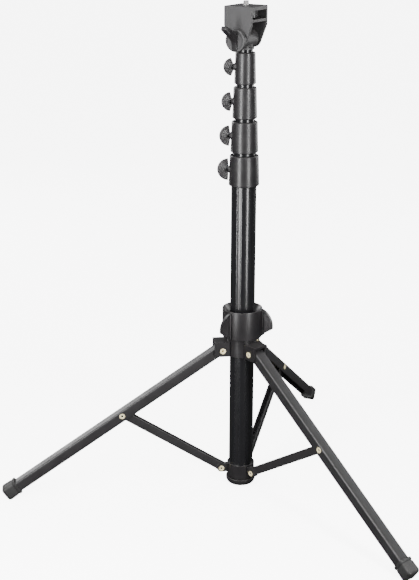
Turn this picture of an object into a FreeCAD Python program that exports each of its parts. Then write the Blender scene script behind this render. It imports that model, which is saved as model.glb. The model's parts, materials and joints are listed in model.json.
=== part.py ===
"""Compact five-section tripod with a tilting camera-screw head.

Millimetres, +Z up.  The driving sizes are in the "Sizes" sheet.  Every sub-part is drawn about the
mast axis, with its heights counted from the brace pivots (the datum), and is then stood in place:
the origin of the whole object is on the floor under the middle of the three feet's bounding box.
"""
import FreeCAD, Part
import os
import re
import Sketcher

doc = FreeCAD.newDocument("compact_tripod")
sheet = doc.addObject("Spreadsheet::Sheet", "Sizes")

SIZES = {
    # mast and telescoping tubes; stage 0 is the mast, stages 1 to 4 slide
    "mast_radius": 14.0,
    "radius_step": 1.5,
    "tube_wall": 1.0,
    "mast_drop": 15.0,
    "mast_length": 386.9,
    "tube_floor": 12.0,
    "floor_step": 3.0,
    "bush_length": 22.0,
    "bush_lip": 1.2,
    "slide_clearance": 0.06,
    "band_width": 6.0,
    "band_depth": 0.25,
    "band_line": 0.7,
    "window_gap": 0.3,
    "bush_chamfer": 0.3,
    # lock collars and their thumb screws
    "collar_length": 34.0,
    "collar_grip": 30.0,
    "stack_gap": 3.1,
    "collar_wall": 2.9,
    "collar_wall_gain": 0.2,
    "collar_taper": 0.95,
    "collar_round": 1.2,
    "seat_gap": 0.35,
    "fin_rise": 18.4,
    "fin_half_height": 12.75,
    "fin_half_step": 0.85,
    "fin_reach": 12.2,
    "fin_reach_step": 0.37,
    "fin_thickness": 5.0,
    "fin_gap": 0.7,
    "fin_flat": 0.8,
    "notch_gap": 0.5,
    "boss_radius": 3.6,
    "boss_stand": 1.6,
    "stud_radius": 2.0,
    "stud_seat": 7.6,
    "stud_clearance": 0.06,
    "pad_radius": 3.0,
    "pad_thickness": 1.2,
    "pad_gap": 0.02,
    # legs, braces and rivets
    "pivot_stand": 9.5,
    "leg_angle": 56.3,
    "pin_line_tilt": 0.82,
    "link_length": 138.6,
    "leg_length": 300.0,
    "foot_axis_height": 5.95,
    "leg_width": 13.0,
    "leg_height": 12.0,
    "leg_offset": 1.3,
    "sheet_wall": 1.0,
    "brace_width": 8.0,
    "brace_height": 10.0,
    "brace_offset": 1.4,
    "brace_tip_radius": 3.9,
    "rivet_radius": 2.0,
    "rivet_bore": 1.1,
    "rivet_clearance": 0.06,
    "rivet_head_radius": 3.3,
    "rivet_head": 0.7,
    "rivet_sink": 0.1,
    "leg_end_gap": 2.0,
    "boot_grip": 14.4,
    "boot_nose": 4.0,
    "boot_side_wall": 1.5,
    "boot_top_wall": 2.5,
    "boot_round": 3.0,
    "boot_plug_gap": 0.1,
    "boot_plug": 12.0,
    # spider, twist lock ring and grip collet
    "sleeve_wall": 3.2,
    "spider_down": 7.0,
    "spider_top": 10.6,
    "hood_wall": 2.9,
    "hood_reach": 9.5,
    "hood_chamfer": 1.6,
    "leg_side_gap": 0.3,
    "leg_swing_gap": 0.6,
    "mast_clearance": 0.12,
    "ring_stand": 8.85,
    "ring_bottom": 15.4,
    "ring_height": 33.6,
    "mouth_rim": 1.45,
    "throat_gap": 2.2,
    "funnel_depth": 7.0,
    "throat_length": 2.0,
    "ring_chamfer": 0.8,
    "collet_wall": 3.2,
    "collet_shoulder": 1.5,
    "collet_room": 6.0,
    "collet_slit": 1.6,
    "collet_chamfer": 1.6,
    "collet_lead": 5.0,
    "collet_solid": 3.0,
    "collet_end_gap": 0.5,
    "neck_ring_rise": 5.0,
    "neck_ring_gap": 0.2,
    "thread_gap": 0.4,
    "wing_span": 13.0,
    "wing_thickness": 3.6,
    "wing_slope": 9.5,
    "wing_azimuth": 224.4,
    "wing_lean": -22.0,
    "wing_round": 20.0,
    "wing_root": 1.2,
    # lower collar and end cap
    "brace_collar_wall": 2.05,
    "brace_collar_down": 10.1,
    "brace_collar_up": 6.3,
    "lug_gap": 0.2,
    "lug_radius": 5.0,
    "lug_root": 0.5,
    "cap_flange": 3.25,
    "cap_gap": 1.2,
    "cap_height": 9.4,
    "cap_round": 3.6,
    "cap_chamfer": 0.8,
    "cap_plug": 14.0,
    "cap_plug_wall": 1.4,
    "cap_floor": 3.0,
    # head
    "head_azimuth": -41.8,
    "neck_lip": 1.3,
    "neck_lip_height": 2.2,
    "neck_plug": 24.0,
    "neck_waist": 0.4,
    "knuckle_radius": 9.2,
    "tilt_rise": 10.6,
    "head_width": 33.0,
    "head_depth": 34.0,
    "head_wall": 3.0,
    "head_top": 35.0,
    "head_skirt": 15.0,
    "head_end_radius": 10.2,
    "head_chamfer": 0.8,
    "back_rise": 4.0,
    "plate_thickness": 4.4,
    "chamber_height": 9.0,
    "shelf_thickness": 3.0,
    "washer_thickness": 1.45,
    "washer_gap": 0.175,
    "washer_radius": 8.2,
    "tilt_stud_radius": 2.5,
    "nut_flats": 8.0,
    "nut_thickness": 3.6,
    "nut_gap": 0.03,
    "stud_end": 1.2,
    "lever_bite": 1.0,
    "lever_disc_radius": 12.0,
    "lever_disc_thickness": 4.6,
    "lever_gap": 0.5,
    "lever_thickness": 6.2,
    "lever_tip_reach": 24.0,
    "lever_tip_rise": 15.5,
    "lever_heel": 1.2,
    "lever_swell": 3.2,
    "screw_radius": 3.175,
    "screw_stand": 4.8,
    "screw_chamfer": 0.5,
    "screw_waist": 0.55,
    "screw_waist_rise": 0.3,
    "screw_hole_gap": 0.15,
    "wheel_side_gap": 0.7,
    "wheel_gap": 0.9,
    "knurl_count": 36.0,
    "knurl_depth": 0.35,
    "knurl_width": 0.9,
    "knurl_end": 0.6,
    # how far a cutting tool runs past what it cuts
    "overrun": 1.0,
    "far": 40.0,
}

for row, (alias, number) in enumerate(SIZES.items(), start=1):
    sheet.set(f"A{row}", alias)
    sheet.set(f"B{row}", str(number))
    sheet.setAlias(f"B{row}", alias)
doc.recompute()

# Sizes that follow from the ones in the sheet.
WORKED_OUT = {
    "pivot_radius": "mast_radius + pivot_stand",
    "spider_sleeve": "mast_radius + sleeve_wall",
    "collet_radius": "mast_radius + collet_wall",
    "ring_radius": "mast_radius + ring_stand",
    "ring_throat": "mast_radius + throat_gap",
    "ring_mouth": "ring_radius - mouth_rim",
    "ring_bore": "collet_radius + thread_gap",
    "collet_top": "ring_bottom + ring_height - funnel_depth - collet_room",
    "brace_collar_radius": "mast_radius + brace_collar_wall",
    "cap_radius": "mast_radius + cap_flange",
    "hood_width": "leg_width + 2 * leg_side_gap + 2 * hood_wall",
    "lug_width": "brace_width - 2 * sheet_wall - 2 * lug_gap",
    "boot_start": "leg_length - boot_grip",
    "boot_end": "leg_length + boot_nose",
    "boot_width": "leg_width + 2 * boot_side_wall",
    "boot_height": "leg_height + 2 * boot_top_wall",
    "last_radius": "mast_radius - 4 * radius_step",
    "neck_lip_radius": "last_radius + neck_lip",
    "neck_stem_radius": "last_radius - neck_waist",
    "knuckle_width": "head_width - 2 * head_wall - 2 * washer_thickness - 4 * washer_gap",
    "wheel_radius": "min(head_width; head_depth) / 2 - head_wall - wheel_side_gap",
}

# ---------------------------------------------------------------- rules shared by several sub-parts
PIN_ANGLE = "(leg_angle + pin_line_tilt)"
RISE = f"(2 * link_length * cos({PIN_ANGLE}))"
DATUM = f"(foot_axis_height + leg_length * cos(leg_angle) - {RISE})"
FOOT_REACH = "(pivot_radius + boot_end * sin(leg_angle) + 0.25 * boot_height * cos(leg_angle))"
MAST_X = f"({FOOT_REACH} / 4 - boot_width * sin(60) / 4)"
MAST_TOP = "(mast_length - mast_drop)"
PITCH = "(collar_length + stack_gap)"
LEG_AZIMUTHS = (180, 300, 60)
STAGES = (1, 2, 3, 4)

PARTS = []


def rule(text):
    """Spell out the worked-out sizes, and write the sheet's name before each alias."""
    def spell(word):
        name = word[0]
        if name in WORKED_OUT:
            return f"({rule(WORKED_OUT[name])})"
        return f"Sizes.{name}" if name in SIZES else name

    return re.sub(r"[a-z]\w*", spell, text)


def number(text):
    return float(sheet.evalExpression(rule(text)))


def bind(item, **rules):
    for name, text in rules.items():
        item.setExpression(name, rule(text))
    return item


def place(item, x="0", y="0", z="0", pitch="0", yaw="0", roll="0"):
    spin = f"rotation(vector(0; 0; 1); {yaw}) * rotation(vector(0; 1; 0); {pitch})"
    spin += f" * rotation(vector(1; 0; 0); {roll})"
    item.setExpression("Placement", rule(f"placement(vector({x}; {y}; {z}); {spin})"))
    return item


def stand(item, label, azimuth="0", radius="0", height="0", pitch="0"):
    """Name a finished sub-part and put it in its place in the whole object."""
    item.Label = label
    place(
        item,
        x=f"{MAST_X} + ({radius}) * cos({azimuth})",
        y=f"({radius}) * sin({azimuth})",
        z=f"{DATUM} + {height}",
        yaw=azimuth,
        pitch=pitch,
    )
    PARTS.append(item)
    return item


# ---------------------------------------------------------------- primitives and booleans
def box(x, y, z, length, width, height):
    """A block from corner x, y, z."""
    item = bind(doc.addObject("Part::Box", "block"), Length=length, Width=width, Height=height)
    return place(item, x, y, z)


def slab(x, z, length, width, height):
    """A block that starts at x, z and is centred across Y."""
    return box(x, f"-({width}) / 2", z, length, width, height)


def rod(radius, height, x="0", y="0", z="0", pitch="0", roll="0"):
    """A cylinder from x, y, z; pitch 90 lays it along +X, roll 90 along -Y."""
    item = bind(doc.addObject("Part::Cylinder", "rod"), Radius=radius, Height=height)
    return place(item, x, y, z, pitch=pitch, roll=roll)


def cross_rod(radius, width, x="0", z="0"):
    """A cylinder along Y, centred on the XZ plane."""
    return rod(radius, width, x, f"({width}) / 2", z, roll="90")


def fuse(*items):
    joined = doc.addObject("Part::MultiFuse", "joined")
    joined.Shapes = list(items)
    joined.Refine = True
    return joined


def cut(base, *tools):
    result = doc.addObject("Part::Cut", "cut")
    result.Base = base
    result.Tool = tools[0] if len(tools) == 1 else fuse(*tools)
    result.Refine = True
    return result


def common(first, second):
    result = doc.addObject("Part::MultiCommon", "common")
    result.Shapes = [first, second]
    return result


def group(*items):
    """Solids kept apart under one name."""
    holder = doc.addObject("Part::Compound", "group")
    holder.Links = list(items)
    return holder


def around(count, start, make):
    """Copies made by make(azimuth) evenly round the mast axis."""
    return [make(start + 360.0 * turn / count) for turn in range(count)]


def turned_tool(item, azimuth):
    """Turn a tool that was drawn at azimuth 0 to another azimuth, keeping its own place."""
    return place(group(item), yaw=str(azimuth))


# ---------------------------------------------------------------- bodies with sketches
def origin_plane(body, role):
    return next(feature for feature in body.Origin.OriginFeatures if feature.Role == role)


def draw(body, plane, outline):
    """A closed outline of straight lines whose corners are bound to the sheet."""
    sketch = body.newObject("Sketcher::SketchObject", "outline")
    sketch.AttachmentSupport = (origin_plane(body, plane), [""])
    sketch.MapMode = "FlatFace"
    corners = [FreeCAD.Vector(number(x), number(y), 0) for x, y in outline]
    last = len(corners) - 1
    for index, corner in enumerate(corners):
        follower = corners[0] if index == last else corners[index + 1]
        sketch.addGeometry(Part.LineSegment(corner, follower))
    for index in range(len(corners)):
        follower = 0 if index == last else index + 1
        sketch.addConstraint(Sketcher.Constraint("Coincident", index, 2, follower, 1))
    for index, (corner, texts) in enumerate(zip(corners, outline)):
        for kind, axis, amount, text in (
            ("DistanceX", -2, corner.x, texts[0]),
            ("DistanceY", -1, corner.y, texts[1]),
        ):
            if text == "0":
                sketch.addConstraint(Sketcher.Constraint("PointOnObject", index, 1, axis))
                continue
            place_in_list = sketch.addConstraint(Sketcher.Constraint(kind, -1, 1, index, 1, amount))
            sketch.setExpression(f"Constraints[{place_in_list}]", rule(text))
    return sketch


def turned(outline):
    """A body turned about the Z axis from an outline of (radius, height) corners."""
    body = doc.addObject("PartDesign::Body", "turned")
    sketch = draw(body, "XZ_Plane", outline)
    feature = body.newObject("PartDesign::Revolution", "turn")
    feature.Profile = sketch
    feature.ReferenceAxis = (sketch, ["V_Axis"])
    feature.Angle = 360
    return body


def padded(plane, outline, width):
    """A body padded from an outline equally to both sides of its plane."""
    body = doc.addObject("PartDesign::Body", "padded")
    sketch = draw(body, plane, outline)
    pad = body.newObject("PartDesign::Pad", "pad")
    pad.Profile = sketch
    pad.SideType = "Symmetric"
    pad.setExpression("Length", rule(width))
    return body


# ---------------------------------------------------------------- tubes
def stage_radius(stage):
    return f"(mast_radius - {stage} * radius_step)"


def stage_top(stage):
    """Height of the top of a tube; the last tube ends under the neck's lip."""
    extra = "collar_length - collar_grip + stack_gap - " + PITCH if stage == 4 else "0"
    return f"({MAST_TOP} + {stage} * {PITCH} + {extra})"


def stage_bottom(stage):
    return "(-mast_drop)" if stage == 0 else f"(tube_floor + {stage} * floor_step)"


def make_tube(stage):
    radius = stage_radius(stage)
    length = f"{stage_top(stage)} - {stage_bottom(stage)}"
    blank = rod(radius, length, z=stage_bottom(stage))
    bore = rod(f"{radius} - tube_wall", f"{length} + 2 * overrun", z=f"{stage_bottom(stage)} - overrun")
    tools = [bore]
    if stage < 4:
        # The brake pad reaches the next tube through a window.
        tools.append(rod("pad_radius + window_gap", f"{radius} + overrun",
                         z=fin_height(stage), pitch="-90"))
    if stage == 0:
        # Three flat bands run the length of the mast, each between two fine grooves.
        def groove(azimuth):
            side = azimuth % 2
            shift = "band_width / 2 - band_line" if side else "-band_width / 2"
            line = box(
                f"{radius} - 2 * band_depth", shift, f"{stage_bottom(stage)} - overrun",
                "overrun", "band_line", f"{length} + 2 * overrun",
            )
            return turned_tool(line, azimuth - side)
        for start in (0, 1):
            tools += around(3, start, groove)
    label = "mast_tube" if stage == 0 else f"tube_{stage + 1}"
    stand(cut(blank, *tools), label)


def make_guide_bush(stage):
    """Thin plastic sleeve round the foot of a sliding tube, with a lip under its end."""
    radius = stage_radius(stage)
    outer = f"({stage_radius(stage - 1)} - tube_wall - slide_clearance)"
    foot = stage_bottom(stage)
    stand(turned((
        (f"{radius} - tube_wall", f"{foot} - bush_lip"),
        (f"{outer} - bush_chamfer", f"{foot} - bush_lip"),
        (outer, f"{foot} - bush_lip + bush_chamfer"),
        (outer, f"{foot} + bush_length"),
        (radius, f"{foot} + bush_length"),
        (radius, foot),
        (f"{radius} - tube_wall", foot),
    )), f"guide_bush_{stage + 1}")


# ---------------------------------------------------------------- lock collars
def collar_base(stage):
    return f"({MAST_TOP} + {stage} * {PITCH} - collar_grip)"


def collar_foot_radius(stage):
    return f"({stage_radius(stage)} + collar_wall - {stage} * collar_wall_gain)"


def fin_height(stage):
    return f"({collar_base(stage)} + fin_rise)"


def fin_half(stage):
    return f"(fin_half_height - {stage} * fin_half_step)"


def slider_radius(stage):
    """Radius of the tube that slides through a collar."""
    return stage_radius(stage + 1)


def make_lock_collar(stage):
    base = collar_base(stage)
    foot = collar_foot_radius(stage)
    top = f"{base} + collar_length"
    shell = turned((
        ("0", base),
        (f"{foot} - 2 * collar_round", base),
        (f"{foot} - 0.6 * collar_round", f"{base} + 0.25 * collar_round"),
        (foot, f"{base} + 1.4 * collar_round"),
        (f"{foot} - collar_taper", f"{top} - 0.5 * collar_round"),
        (f"{foot} - collar_taper - 0.5 * collar_round", top),
        ("0", top),
    ))
    boss = rod("boss_radius", f"{foot} + boss_stand", z=fin_height(stage), pitch="-90")
    lower_bore = rod(stage_radius(stage), "collar_grip + overrun", z=f"{base} - overrun")
    upper_bore = rod(f"{slider_radius(stage)} + seat_gap", "collar_length + 2 * overrun",
                     z=f"{base} - overrun")
    stud_hole = rod(
        "stud_radius + stud_clearance", f"{foot} + boss_stand + overrun",
        z=fin_height(stage), pitch="-90",
    )
    pad_seat = rod(
        "pad_radius + pad_gap", f"{slider_radius(stage)} + seat_gap + pad_thickness",
        z=fin_height(stage), pitch="-90",
    )
    stand(cut(fuse(shell, boss), lower_bore, upper_bore, stud_hole, pad_seat), f"lock_collar_{stage + 1}")


def make_brake_pad(stage):
    """Disc that the stud presses on the sliding tube, hollowed to the tube's curve."""
    seat = f"({slider_radius(stage)} + seat_gap)"
    disc = rod("pad_radius", f"{seat} + pad_thickness", z=fin_height(stage), pitch="-90")
    tube = rod(seat, "4 * pad_radius", z=f"{fin_height(stage)} - 2 * pad_radius")
    near_side = slab("0", f"{fin_height(stage)} - pad_radius - overrun", "far", "far",
                     "2 * pad_radius + 2 * overrun")
    stand(cut(disc, tube, near_side), f"brake_pad_{stage + 1}")


def make_thumb_screw(stage):
    """D-shaped fin with a notch at the boss, on a steel stud that points at the mast axis."""
    half = fin_half(stage)
    reach = f"(fin_reach - {stage} * fin_reach_step)"
    back = f"({collar_foot_radius(stage)} + fin_gap)"
    curve = f"(({reach} ^ 2 + {half} ^ 2) / (2 * {reach}))"
    height = fin_height(stage)
    disc = cross_rod(curve, "fin_thickness", x=f"-({back} + {reach} - {curve})", z=height)
    frame = slab(
        f"-({back} + {reach} + overrun)", f"{height} - {half} + fin_flat",
        f"{reach} + overrun", "fin_thickness + 2 * overrun", f"2 * ({half} - fin_flat)",
    )
    notch = rod("boss_radius + notch_gap", f"{back} + boss_stand + notch_gap", z=height, pitch="-90")
    socket = rod("stud_radius", f"{back} + stud_seat", z=height, pitch="-90")
    stand(cut(common(disc, frame), notch, socket), f"thumb_fin_{stage + 1}")
    tip = f"({slider_radius(stage)} + seat_gap + pad_thickness + pad_gap)"
    stud = rod("stud_radius", f"{back} + stud_seat - {tip}", x=f"-{tip}", z=height, pitch="-90")
    stand(group(stud), f"thumb_stud_{stage + 1}")


# ---------------------------------------------------------------- foot of the mast
def make_brace_collar():
    low = "(-brace_collar_down)"
    ring = rod("brace_collar_radius", "brace_collar_down + brace_collar_up", z=low)

    def lug(azimuth):
        tab = slab("mast_radius + lug_root", "-lug_radius", "pivot_radius - mast_radius - lug_root",
                   "lug_width", "2 * lug_radius")
        end = cross_rod("lug_radius", "lug_width", x="pivot_radius")
        return turned_tool(fuse(tab, end), azimuth)

    def pin_hole(azimuth):
        return turned_tool(cross_rod("rivet_radius", "2 * lug_width", x="pivot_radius"), azimuth)

    bore = rod("mast_radius", "brace_collar_down + brace_collar_up + 2 * overrun",
               z=f"{low} - overrun")
    holes = around(3, LEG_AZIMUTHS[0], pin_hole)
    stand(cut(fuse(ring, *around(3, LEG_AZIMUTHS[0], lug)), bore, *holes), "brace_collar")


def make_end_cap():
    top = "(-brace_collar_down - cap_gap)"
    low = f"({top} - cap_height)"
    bore = "(mast_radius - tube_wall)"
    stand(turned((
        ("0", low),
        ("cap_radius - 1.6 * cap_round", low),
        ("cap_radius - 0.55 * cap_round", f"{low} + 0.35 * cap_round"),
        ("cap_radius", f"{low} + 1.3 * cap_round"),
        ("cap_radius", f"{top} - cap_chamfer"),
        ("cap_radius - cap_chamfer", top),
        ("mast_radius", top),
        ("mast_radius", "-mast_drop"),
        (bore, "-mast_drop"),
        (bore, "cap_plug - mast_drop"),
        (f"{bore} - cap_plug_wall", "cap_plug - mast_drop"),
        (f"{bore} - cap_plug_wall", f"{low} + cap_floor"),
        ("0", f"{low} + cap_floor"),
    )), "mast_end_cap")


# ---------------------------------------------------------------- rivets
def rivet(grip, x="0", z="0"):
    """Hollow rivet across the leg's plane; grip is the width over what it holds."""
    body = [cross_rod("rivet_radius", f"{grip} + 2 * rivet_sink", x=x, z=z)]
    for side in ("-1", "1"):
        start = f"{side} * ({grip} / 2 + rivet_head / 2) + rivet_head / 2"
        body.append(rod("rivet_head_radius", "rivet_head", x=x, y=start, z=z, roll="90"))
    hole = cross_rod("rivet_bore", f"{grip} + 4 * rivet_head", x=x, z=z)
    return cut(fuse(*body), hole)


def rivet_set(grip, height, label):
    rivets = around(3, LEG_AZIMUTHS[0], lambda azimuth: turned_tool(
        rivet(grip, x="pivot_radius", z=height), azimuth))
    stand(group(*rivets), label)


# ---------------------------------------------------------------- legs, boots and braces
PIN_ALONG = "(link_length * cos(pin_line_tilt))"
PIN_ABOVE = "(link_length * sin(pin_line_tilt))"


def stand_leg_piece(item, label, azimuth):
    """Leg pieces are drawn along +X from the upper pivot, with the web side up."""
    stand(item, label, str(azimuth), "pivot_radius", RISE, "90 - leg_angle")


def make_leg(azimuth, index):
    half = "(leg_height / 2)"
    length = "(leg_length - leg_end_gap)"
    inner_width = "leg_width - 2 * sheet_wall"
    rail = slab("0", f"leg_offset - {half}", length, "leg_width", "leg_height")
    end = cross_rod(half, "leg_width", z="leg_offset")
    hollow = slab(f"-2 * {half}", f"leg_offset - {half} - overrun", f"{length} + 4 * {half}",
                  inner_width, "leg_height - sheet_wall + overrun")
    upper_hole = cross_rod("rivet_radius + rivet_clearance", "2 * leg_width")
    lower_hole = cross_rod("rivet_radius", "2 * leg_width", x=PIN_ALONG, z=PIN_ABOVE)
    stand_leg_piece(cut(fuse(rail, end), hollow, upper_hole, lower_hole), f"leg_{index}", azimuth)


def make_boot(azimuth, index):
    """Rubber boot over the end of a leg, with a plug up its channel and a sole flat on the floor."""
    half = "(boot_height / 2)"
    low = f"leg_offset - {half}"
    shell = slab("boot_start", low, "boot_end - boot_start - boot_round", "boot_width", "boot_height")
    nose = slab("boot_end - 2 * boot_round", f"{low} + boot_round", "2 * boot_round", "boot_width",
                "boot_height - 2 * boot_round")
    corners = [
        cross_rod("boot_round", "boot_width", x="boot_end - boot_round", z=f"{low} + boot_round"),
        cross_rod("boot_round", "boot_width", x="boot_end - boot_round",
                  z=f"leg_offset + {half} - boot_round"),
    ]
    rail = slab("0", "leg_offset - leg_height / 2", "leg_length - leg_end_gap", "leg_width",
                "leg_height")
    core = slab("boot_start - boot_plug", "leg_offset - leg_height / 2",
                "leg_length - leg_end_gap - boot_start + boot_plug + overrun",
                "leg_width - 2 * sheet_wall - 2 * boot_plug_gap",
                "leg_height - sheet_wall - boot_plug_gap")
    # What would be under the floor is cut away, which leaves the sole flat.
    ground = slab("0", "0", "2 * far", "far", "far")
    place(
        ground,
        x="leg_length + far * cos(leg_angle) - far * sin(leg_angle)",
        y="-far / 2",
        z="-foot_axis_height / sin(leg_angle) - far * sin(leg_angle) - far * cos(leg_angle)",
        pitch="leg_angle - 90",
    )
    blank = fuse(cut(fuse(shell, nose, *corners), rail), core)
    stand_leg_piece(cut(blank, ground), f"foot_boot_{index}", azimuth)


def make_brace_rivet(azimuth, index):
    stand_leg_piece(rivet("leg_width", x=PIN_ALONG, z=PIN_ABOVE), f"brace_rivet_{index}", azimuth)


def make_brace(azimuth, index):
    """Narrow channel from the lower collar to the leg, open on its upper side."""
    half = "(brace_height / 2)"
    low = f"(brace_offset - {half})"
    rail = slab("0", low, "link_length", "brace_width", "brace_height")
    ends = [cross_rod(half, "brace_width", z="brace_offset"),
            cross_rod("brace_tip_radius", "brace_width", x="link_length")]
    hollow = slab("-brace_height", f"sheet_wall + {low}", "link_length + 2 * brace_height",
                  "brace_width - 2 * sheet_wall", "brace_height")
    clear = slab("-lug_radius - overrun", f"{low} - overrun", "2 * lug_radius + 2 * overrun",
                 "brace_width - 2 * sheet_wall", "brace_height")
    holes = [cross_rod("rivet_radius + rivet_clearance", "2 * brace_width", x=x)
             for x in ("0", "link_length")]
    blank = cut(fuse(rail, *ends), hollow, clear, *holes)
    stand(blank, f"brace_{index}", str(azimuth), "pivot_radius", "0", f"{PIN_ANGLE} - 90")


# ---------------------------------------------------------------- spider, collet and twist ring
def make_spider():
    down = "spider_down"
    sleeve = rod("spider_sleeve", f"{down} + spider_top", z=f"{RISE} - {down}")
    swing = "(leg_height / 2 + leg_offset + leg_swing_gap)"
    slot_start = f"(pivot_radius - {swing})"

    def hood(azimuth):
        """A square block over a leg's pivot, chamfered along its outer lower edge."""
        block = slab("mast_radius + sleeve_wall / 2", f"{RISE} - {down}",
                     "pivot_stand + hood_reach - sleeve_wall / 2", "hood_width", f"{down} + spider_top")
        edge = slab("0", "0", "2 * hood_chamfer", "hood_width + 2 * overrun", "2 * hood_chamfer")
        place(edge, x="pivot_radius + hood_reach", y="-hood_width / 2 - overrun",
              z=f"{RISE} - {down} - sqrt(2) * hood_chamfer", pitch="-45")
        return turned_tool(cut(block, edge), azimuth)

    def slot(azimuth):
        gap = slab(slot_start, f"{RISE} - {down} - overrun", "far", "leg_width + 2 * leg_side_gap",
                   f"{down} + overrun + {swing}")
        return turned_tool(gap, azimuth)

    def hole(azimuth):
        return turned_tool(cross_rod("rivet_radius", "2 * hood_width", x="pivot_radius", z=RISE), azimuth)

    start = LEG_AZIMUTHS[0]
    body = fuse(sleeve, *around(3, start, hood))
    neck = rod("collet_radius", "ring_bottom + neck_ring_rise - spider_top", z=f"{RISE} + spider_top")
    bore = rod("mast_radius + mast_clearance", "collet_top + far", z=f"{RISE} - {down} - overrun")
    socket = rod("mast_radius + collet_shoulder", "collet_top", z=f"{RISE} + spider_top")
    stand(cut(fuse(body, neck), bore, socket, *around(3, start, slot), *around(3, start, hole)),
          "leg_spider")


def make_grip_collet():
    """Split nylon sleeve that the twist ring squeezes on the mast."""
    inner = "(mast_radius + mast_clearance)"
    seat = f"({RISE} + spider_top)"
    shoulder = f"({RISE} + ring_bottom + neck_ring_rise)"
    top = f"({RISE} + collet_top)"
    sleeve = turned((
        (inner, seat),
        ("mast_radius + collet_shoulder", seat),
        ("mast_radius + collet_shoulder", f"{shoulder} + neck_ring_gap"),
        ("collet_radius", f"{shoulder} + neck_ring_gap"),
        ("collet_radius", f"{top} - collet_lead"),
        ("collet_radius - collet_chamfer", top),
        (inner, top),
    ))

    def slit(azimuth):
        gap = slab("mast_radius / 2", f"{shoulder} + collet_solid", "mast_radius", "collet_slit", "far")
        return turned_tool(gap, azimuth)

    stand(cut(sleeve, *around(4, 45, slit)), "grip_collet")


def make_twist_ring():
    low = f"({RISE} + ring_bottom)"
    top = f"({low} + ring_height)"
    throat = f"({top} - funnel_depth)"
    body = turned((
        ("ring_bore", low),
        ("ring_radius - ring_chamfer", low),
        ("ring_radius", f"{low} + ring_chamfer"),
        ("ring_radius", f"{top} - ring_chamfer"),
        ("ring_radius - ring_chamfer", top),
        ("ring_mouth", top),
        ("ring_throat", throat),
        ("ring_throat", f"{throat} - throat_length"),
        ("ring_bore", f"{RISE} + collet_top + collet_end_gap"),
    ))

    def wing(azimuth):
        """A finger wing that leans round the ring, sloped below and arched above."""
        blade = padded("XZ_Plane", (
            ("-wing_root", f"{low} + ring_chamfer"),
            ("wing_span", f"{low} + ring_chamfer + wing_slope"),
            ("wing_span", top),
            ("-wing_root", top),
        ), "wing_thickness")
        arch = cross_rod("wing_round", "2 * wing_thickness", x="wing_span - wing_round",
                         z=f"{top} - wing_round")
        leaning = place(group(common(blade, arch)), x="ring_radius", yaw="wing_lean")
        return turned_tool(leaning, azimuth)

    stand(fuse(body, *around(3, 0, wing)), "twist_lock_ring", "wing_azimuth")


# ---------------------------------------------------------------- head
NECK_FOOT = stage_top(4)
TILT = f"({NECK_FOOT} + tilt_rise)"


def stand_head_piece(item, label):
    """Head pieces are drawn with the open front along +X and the lever side along -Y."""
    stand(item, label, "head_azimuth")


def make_neck():
    plug = rod(f"{stage_radius(4)} - tube_wall", "neck_plug + overrun", z=f"{NECK_FOOT} - neck_plug")
    lip = rod("neck_lip_radius", "neck_lip_height", z=NECK_FOOT)
    stem = rod("neck_stem_radius", "tilt_rise", z=NECK_FOOT)
    knuckle = cross_rod("knuckle_radius", "knuckle_width", z=TILT)
    ground = slab("-far / 2", f"{NECK_FOOT} - far", "far", "far", "far + neck_lip_height")
    bore = cross_rod("tilt_stud_radius + stud_clearance", "2 * knuckle_width", z=TILT)
    barrel = cut(knuckle, ground)
    stand_head_piece(cut(fuse(plug, lip, stem, barrel), bore), "head_neck")


def make_friction_washers():
    washers = []
    for side in ("-1", "1"):
        middle = f"{side} * (knuckle_width / 2 + washer_gap + washer_thickness / 2)"
        disc = rod("washer_radius", "washer_thickness", y=f"{middle} + washer_thickness / 2", z=TILT,
                   roll="90")
        hole = cross_rod("tilt_stud_radius + stud_clearance", "2 * head_width", z=TILT)
        washers.append(cut(disc, hole))
    stand_head_piece(group(*washers), "friction_washers")


def make_hood():
    """Folded head: two side plates on the tilt screw, a top plate, a shelf and a short back."""
    half_depth = "(head_depth / 2)"
    inner = "(head_width - 2 * head_wall)"
    top = f"({TILT} + head_top)"
    # The side plates narrow in straight lines that are tangent to their round lower end.
    tangent = f"(atan2(head_skirt; {half_depth}) - acos(head_end_radius / hypot(head_skirt; {half_depth})))"
    tangent_x = f"(head_end_radius * cos({tangent}))"
    tangent_z = f"({TILT} + head_end_radius * sin({tangent}))"
    plates = padded("XZ_Plane", (
        (f"-{half_depth}", f"{TILT} + head_skirt"),
        (f"-{tangent_x}", tangent_z),
        (tangent_x, tangent_z),
        (half_depth, f"{TILT} + head_skirt"),
        (half_depth, f"{top} - head_chamfer"),
        (f"{half_depth} - head_chamfer", top),
        (f"-{half_depth} + head_chamfer", top),
        (f"-{half_depth}", f"{top} - head_chamfer"),
    ), "head_width")
    round_end = cross_rod("head_end_radius", "head_width", z=TILT)
    shelf_top = f"({top} - plate_thickness - chamber_height)"
    chamber = slab(f"-{half_depth} + head_wall", shelf_top, "head_depth", inner, "chamber_height")
    well = slab(f"-{half_depth} + head_wall", f"{TILT} - 2 * head_end_radius", "head_depth", inner,
                f"{shelf_top} - shelf_thickness - {TILT} + 2 * head_end_radius")
    back = slab(f"-{half_depth} - overrun", f"{TILT} - 2 * head_end_radius", "head_wall + 2 * overrun",
                inner, "2 * head_end_radius + back_rise")
    screw_hole = rod("screw_radius + screw_hole_gap", "plate_thickness + 2 * overrun",
                     z=f"{top} - plate_thickness - overrun")
    foot_hole = rod("screw_radius + screw_hole_gap", "shelf_thickness + 2 * overrun",
                    z=f"{shelf_top} - shelf_thickness - overrun")
    tilt_hole = cross_rod("tilt_stud_radius + stud_clearance", "2 * head_width", z=TILT)
    blank = fuse(plates, round_end)
    stand_head_piece(cut(blank, chamber, well, back, screw_hole, foot_hole, tilt_hole), "head_hood")


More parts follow.
